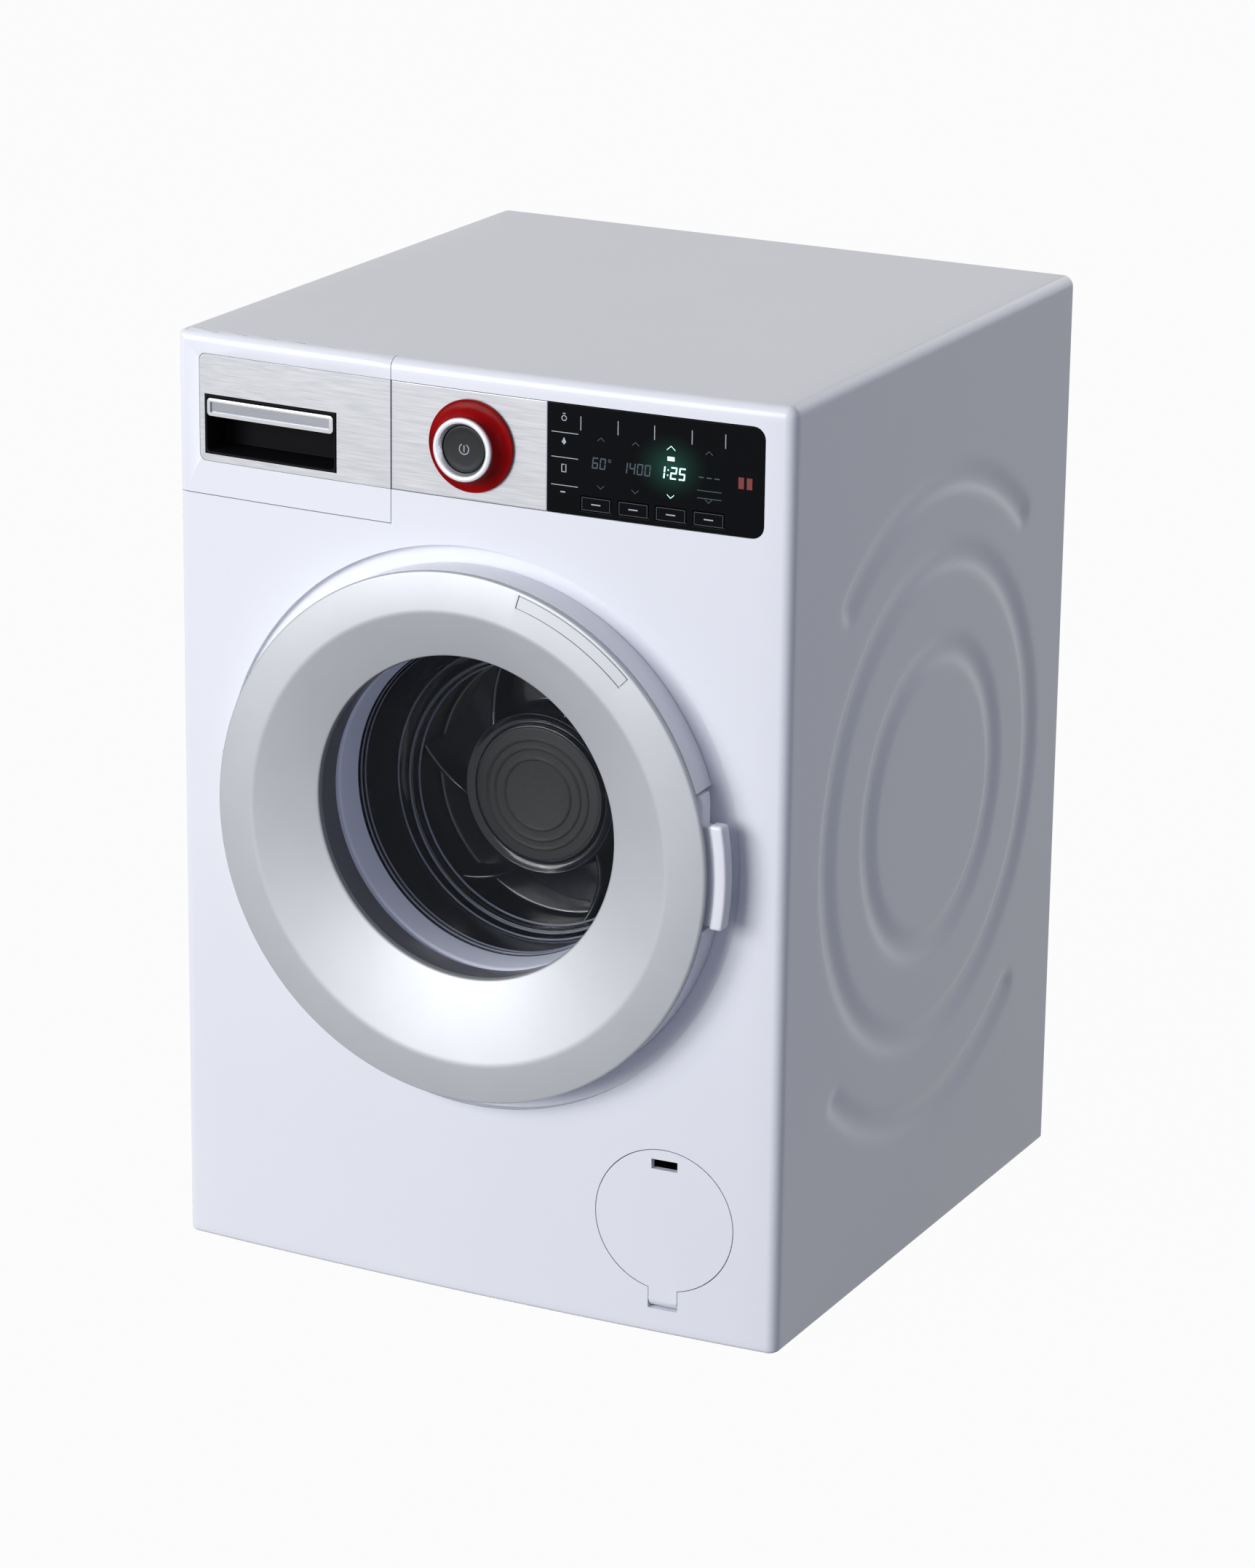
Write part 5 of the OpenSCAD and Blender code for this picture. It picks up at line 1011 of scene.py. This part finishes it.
glow_runs = []
for k in range(8):
    x0 = GLOW_X - GLOW_WIDE + 2 * GLOW_WIDE * k / 8
    x1 = x0 + GLOW_WIDE / 4
    glow_runs.append(bar_run(x0, x1, max(LOW_Z + 6.2, GLOW_Z - GLOW_TALL),
                             min(TOP_Z - 0.5, GLOW_Z + GLOW_TALL)))
settle(strip_mesh(glow_runs, 0.01), "display_glow", "display_window", glow_finish(), flat, replaces=False)

# The keys
KEY_W, KEY_H = 8.6, 3.9
KEY_INSET, KEY_LINE_W = 0.25, 0.14
KEY_LIFT = 0.03


def frame_run(x0, x1, z0, z1, line):
    """Four bars along the edges of a rectangle"""
    return [bar_run(x0, x1, z1 - line, z1), bar_run(x0, x1, z0, z0 + line),
            bar_run(x0, x0 + line, z0, z1), bar_run(x1 - line, x1, z0, z1)]


for key in KEYS:
    spot = middle(key)
    edge_x, edge_z = KEY_W / 2 - KEY_INSET, KEY_H / 2 - KEY_INSET
    outline_runs = frame_run(spot.x - edge_x, spot.x + edge_x, spot.z - edge_z, spot.z + edge_z, KEY_LINE_W)
    # A pale outline along each key's edge: a painted highlight
    settle(strip_mesh(outline_runs, KEY_LIFT), key + "_outline", key, KEY_EDGE_PAINTED_HIGHLIGHT, flat, replaces=False)
    mark_runs = [bar_run(spot.x - 1.3, spot.x + 1.3, spot.z - 0.16, spot.z + 0.16)]
    settle(strip_mesh(mark_runs, KEY_LIFT), key + "_mark", key, INK_PALE_PAINTED_GLOW, flat, replaces=False)

# The drawer's chrome strip
STRIP = span("grip_strip")
strip_outline = round_outline(STRIP[0].x, STRIP[1].x, STRIP[0].z, STRIP[1].z, 1.1)
strip_frame = rounded(prism(strip_outline, -2.4, 0.5), 0.35, 3, 60)
sunk = (STRIP[0].x + 1.1, STRIP[1].x - 1.1, STRIP[0].z + 1.1, STRIP[1].z - 1.0)
strip_frame = carve(strip_frame, [prism(round_outline(*sunk, 0.3), -0.1, 3)])
settle(bend(strip_frame), "drawer_chrome_strip", "grip_strip", CHROME, flat, sharp=50)
middle_plate = bend(prism(round_outline(*sunk, 0.3), -0.3, -0.06))
settle(middle_plate, "drawer_strip_middle", "grip_strip", CHROME_SATIN, flat, sharp=50, replaces=False)

# The handle
HANDLE = span("door_handle")
AXIS_X = middle("handle_pin").x - DOOR_X
AXIS_H = 5.6
NOTCH_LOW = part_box("handle_pin")[0].z / MM + 1.6 - DOOR_Z
NOTCH_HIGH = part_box("handle_pin")[1].z / MM - 1.6 - DOOR_Z
BAR_LOW, BAR_HIGH = NOTCH_LOW + 0.6, NOTCH_LOW + 0.6 + 28.4
BAR_IN, BAR_OUT = DOOR_R + 1.1, HANDLE[1].x - DOOR_X
BAR_BACK, BAR_FRONT = 5.2, 9.5
rows = [BAR_LOW + (BAR_HIGH - BAR_LOW) * k / 28 for k in range(29)]
bar_outline = [(math.sqrt(BAR_OUT ** 2 - z * z), z) for z in rows]
bar_outline += [(math.sqrt(BAR_IN ** 2 - z * z), z) for z in reversed(rows)]
bar = rounded(prism(bar_outline, BAR_BACK, BAR_FRONT), 1.1, 5, 40)
upright = Matrix.Translation((AXIS_X, 0, AXIS_H)) @ Matrix.Rotation(math.radians(-90), 4, "X")
barrel = prism(circle_outline(0, 0, 3.4, 96), BAR_LOW + 0.5, NOTCH_HIGH - 0.9)
barrel = placed(rounded(barrel, 0.5, 3, 60), upright)
barrel = carve(barrel, [prism(circle_outline(0, 0, DOOR_R - 0.2, 240), -5, 20)], "INTERSECT")
barrel = carve(barrel, [placed(prism(circle_outline(0, 0, 0.95, 32), -60, 60), upright),
                        placed(prism(circle_outline(0, 0, 2.0, 48), NOTCH_LOW - 1, NOTCH_LOW + 5.2),
                               upright)])
web = rounded(block(AXIS_X + 1.5, BAR_IN + 1, BAR_LOW + 0.7, BAR_HIGH - 0.7, AXIS_H - 0.3, AXIS_H + 3.2),
              0.4, 3)
nose = rounded(block(AXIS_X - 1.1, AXIS_X + 1.1, -6, 6, -5.0, AXIS_H - 2), 0.5, 3)
hook = placed(rounded(prism(circle_outline(0, 0, 1.5, 48), -6, 6), 0.3, 2, 60),
              Matrix.Translation((AXIS_X - 0.4, 0, -4.6)) @ Matrix.Rotation(math.radians(-90), 4, "X"))
settle(joined(bar, barrel, web, nose, hook), "handle_white_bar", "door_handle", ABS_WHITE, door_place,
       sharp=40)

# The feet
FEET = span("feet")
FOOT_R = 8.0
foot = loft(soft([(0, 0, 0), (0, FOOT_R, 0), (0, FOOT_R, FEET[1].z), (0, 0, FEET[1].z)],
                 [0, 0.7, 0.2, 0], closed=False),
            steps=72, closed=False)
row_left = grown(ROW, RUBBER, foot, Count=2, Step=(0, FEET[1].y - FEET[0].y - 2 * FOOT_R, 0))
both = grown(ROW, RUBBER, row_left, Count=2, Step=(FEET[1].x - FEET[0].x - 2 * FOOT_R, 0, 0))
settle(placed(both, Matrix.Translation((FEET[0].x + FOOT_R, FEET[0].y + FOOT_R, 0))), "feet_rubber",
       "feet", RUBBER)

# The screws that show, heads towards the back
SCREW_HEAD_R, SCREW_HEAD_T, SCREW_R = 2.8, 1.4, 1.2
DOOR_BOSS_RING = 58.0
DOOR_BOSS_ANGLES = (30, 150, 210, 330)


def screws(node, spots):
    """Cross-headed screws at X and Z places, as deep as their solids"""
    low, high = span(node)
    heads = grown(SCREWS, STEEL, points([(x, -z, -SCREW_HEAD_T / 2) for x, z in spots]),
                  Head_Radius=SCREW_HEAD_R, Head_Height=SCREW_HEAD_T)
    shanks = [prism(circle_outline(x, -z, SCREW_R, 32), low.y - high.y, 0.01 - SCREW_HEAD_T)
              for x, z in spots]
    backwards = Matrix.Translation((0, high.y, 0)) @ Matrix.Rotation(math.radians(-90), 4, "X")
    settle(placed(joined(heads, *shanks), backwards), node + "_cross_headed", node, STEEL)


cover_low, cover_high = span("back_screws")
cover_x = cover_high.x - SCREW_HEAD_R
cover_rows = (cover_low.z + SCREW_HEAD_R, (cover_low.z + cover_high.z) / 2, cover_high.z - SCREW_HEAD_R)
screws("back_screws", [(side * cover_x, z) for side in (-1, 1) for z in cover_rows])
screws("door_screws", [(DOOR_X + DOOR_BOSS_RING * math.cos(math.radians(a)),
                        DOOR_Z + DOOR_BOSS_RING * math.sin(math.radians(a))) for a in DOOR_BOSS_ANGLES])

# Moulded pieces that keep their solid's shape, with softened edges
for node in ("back_cover", "battery_cover", "hinge_bracket", "drawer_front", "drawer_inlay",
             "fascia_plate", "drawer_tray", "service_flap", "service_cup", "door_frame"):
    dressed(node)
dressed("tub", 0)
# The cup in matt black: painted shade in its hollow
dressed("grip_cup", material=CUP_PAINTED_SHADE)
dressed("display_window", material=PC_DISPLAY)
for node in KEYS:
    dressed(node, 0.15, material=PC_DISPLAY)


# Camera, as the photograph was taken
AZIMUTH, ELEVATION, ROLL = (math.radians(a) for a in (27.005, 17.699, 0.713))
DISTANCE = 1498.578
TARGET = Vector((0, 6.55, 130))
SLIDE_RIGHT, SLIDE_UP = -0.716, -7.884
LENS, SENSOR = 122.82, 36.0
back = Vector((math.sin(AZIMUTH) * math.cos(ELEVATION), -math.cos(AZIMUTH) * math.cos(ELEVATION),
               math.sin(ELEVATION)))
right = Vector((math.cos(AZIMUTH), math.sin(AZIMUTH), 0))
up = back.cross(right)
eye = TARGET + right * SLIDE_RIGHT + up * SLIDE_UP + back * DISTANCE
turned_right = right * math.cos(ROLL) + up * math.sin(ROLL)
turned_up = up * math.cos(ROLL) - right * math.sin(ROLL)
camera = bpy.data.objects.new("camera", bpy.data.cameras.new("camera"))
camera.data.lens, camera.data.sensor_width = LENS, SENSOR
camera.matrix_world = Matrix((
    (turned_right.x, turned_up.x, back.x, eye.x * MM), (turned_right.y, turned_up.y, back.y, eye.y * MM),
    (turned_right.z, turned_up.z, back.z, eye.z * MM), (0, 0, 0, 1),
))
bpy.context.scene.collection.objects.link(camera)
bpy.context.scene.camera = camera


# Light
def lamp(name, place, aim, size, watts, colour):
    """A soft square lamp, with places in mm"""
    light = bpy.data.objects.new(name, bpy.data.lights.new(name, "AREA"))
    light.data.shape, light.data.size, light.data.energy = "SQUARE", size * MM, watts
    light.data.color = srgb(colour)[:3]
    light.location = Vector(place) * MM
    light.rotation_euler = (Vector(place) - Vector(aim)).to_track_quat("Z", "Y").to_euler()
    bpy.context.scene.collection.objects.link(light)


lamp("key", (-1050, -2200, 820), (0, -40, 130), 1500, 55, "FEFEFF")
lamp("glint", (-700, -1250, 600), (0, -60, 130), 120, 1.0, "FFFFFF")
lamp("top", (-100, 200, 1200), (0, 0, 200), 900, 0.3, "FFFFFF")
lamp("back", (300, 1800, 700), (0, 60, 130), 1200, 9, "F6F8FF")
lamp("fill", (750, -750, 330), (60, -40, 150), 500, 0.75, "B4C2FF")


def clear_rays(tree, path):
    """One for rays from the camera, from gloss and through glass, which see the white backdrop"""
    first = add(tree, "ShaderNodeMath", {"operation": "MAXIMUM"},
                {0: path.outputs["Is Camera Ray"], 1: path.outputs["Is Glossy Ray"]})
    both = add(tree, "ShaderNodeMath", {"operation": "MAXIMUM"},
               {0: first.outputs[0], 1: path.outputs["Is Transmission Ray"]})
    return both.outputs[0]


world = bpy.data.worlds.new("studio")
bpy.context.scene.world = world
world.use_nodes = True
sky = world.node_tree
sky.nodes.clear()
ray = add(sky, "ShaderNodeLightPath")
dim = add(sky, "ShaderNodeBackground", {"Color": srgb("EDEFF4"), "Strength": 0.28})
bright = add(sky, "ShaderNodeBackground", {"Color": srgb("FFFFFF"), "Strength": 1.0})
picked = add(sky, "ShaderNodeMixShader", {},
             {0: clear_rays(sky, ray), 1: dim.outputs[0], 2: bright.outputs[0]})
add(sky, "ShaderNodeOutputWorld", {}, {"Surface": picked.outputs[0]})

# Floor
floor_mesh = bpy.data.meshes.new("floor")
FLOOR_HALF = 4.0
floor_mesh.from_pydata([(-FLOOR_HALF, -FLOOR_HALF, 0), (FLOOR_HALF, -FLOOR_HALF, 0),
                        (FLOOR_HALF, FLOOR_HALF, 0), (-FLOOR_HALF, FLOOR_HALF, 0)], [], [(0, 1, 2, 3)])
floor = bpy.data.objects.new("floor", floor_mesh)
bpy.context.scene.collection.objects.link(floor)
paper, sheet = blank("paper_white_sweep")
path_kind = add(sheet, "ShaderNodeLightPath")
matt = add(sheet, "ShaderNodeBsdfDiffuse", {"Color": srgb("5C606E")})
lit = add(sheet, "ShaderNodeEmission", {"Color": srgb("FFFFFF"), "Strength": 1.0})
seen = add(sheet, "ShaderNodeMixShader", {0: 0.97}, {1: matt.outputs[0], 2: lit.outputs[0]})
either = add(sheet, "ShaderNodeMixShader", {}, {0: clear_rays(sheet, path_kind), 1: matt.outputs[0],
                                                2: seen.outputs[0]})
add(sheet, "ShaderNodeOutputMaterial", {}, {"Surface": either.outputs[0]})
floor_mesh.materials.append(paper)

bpy.context.scene.view_settings.view_transform = "Standard"
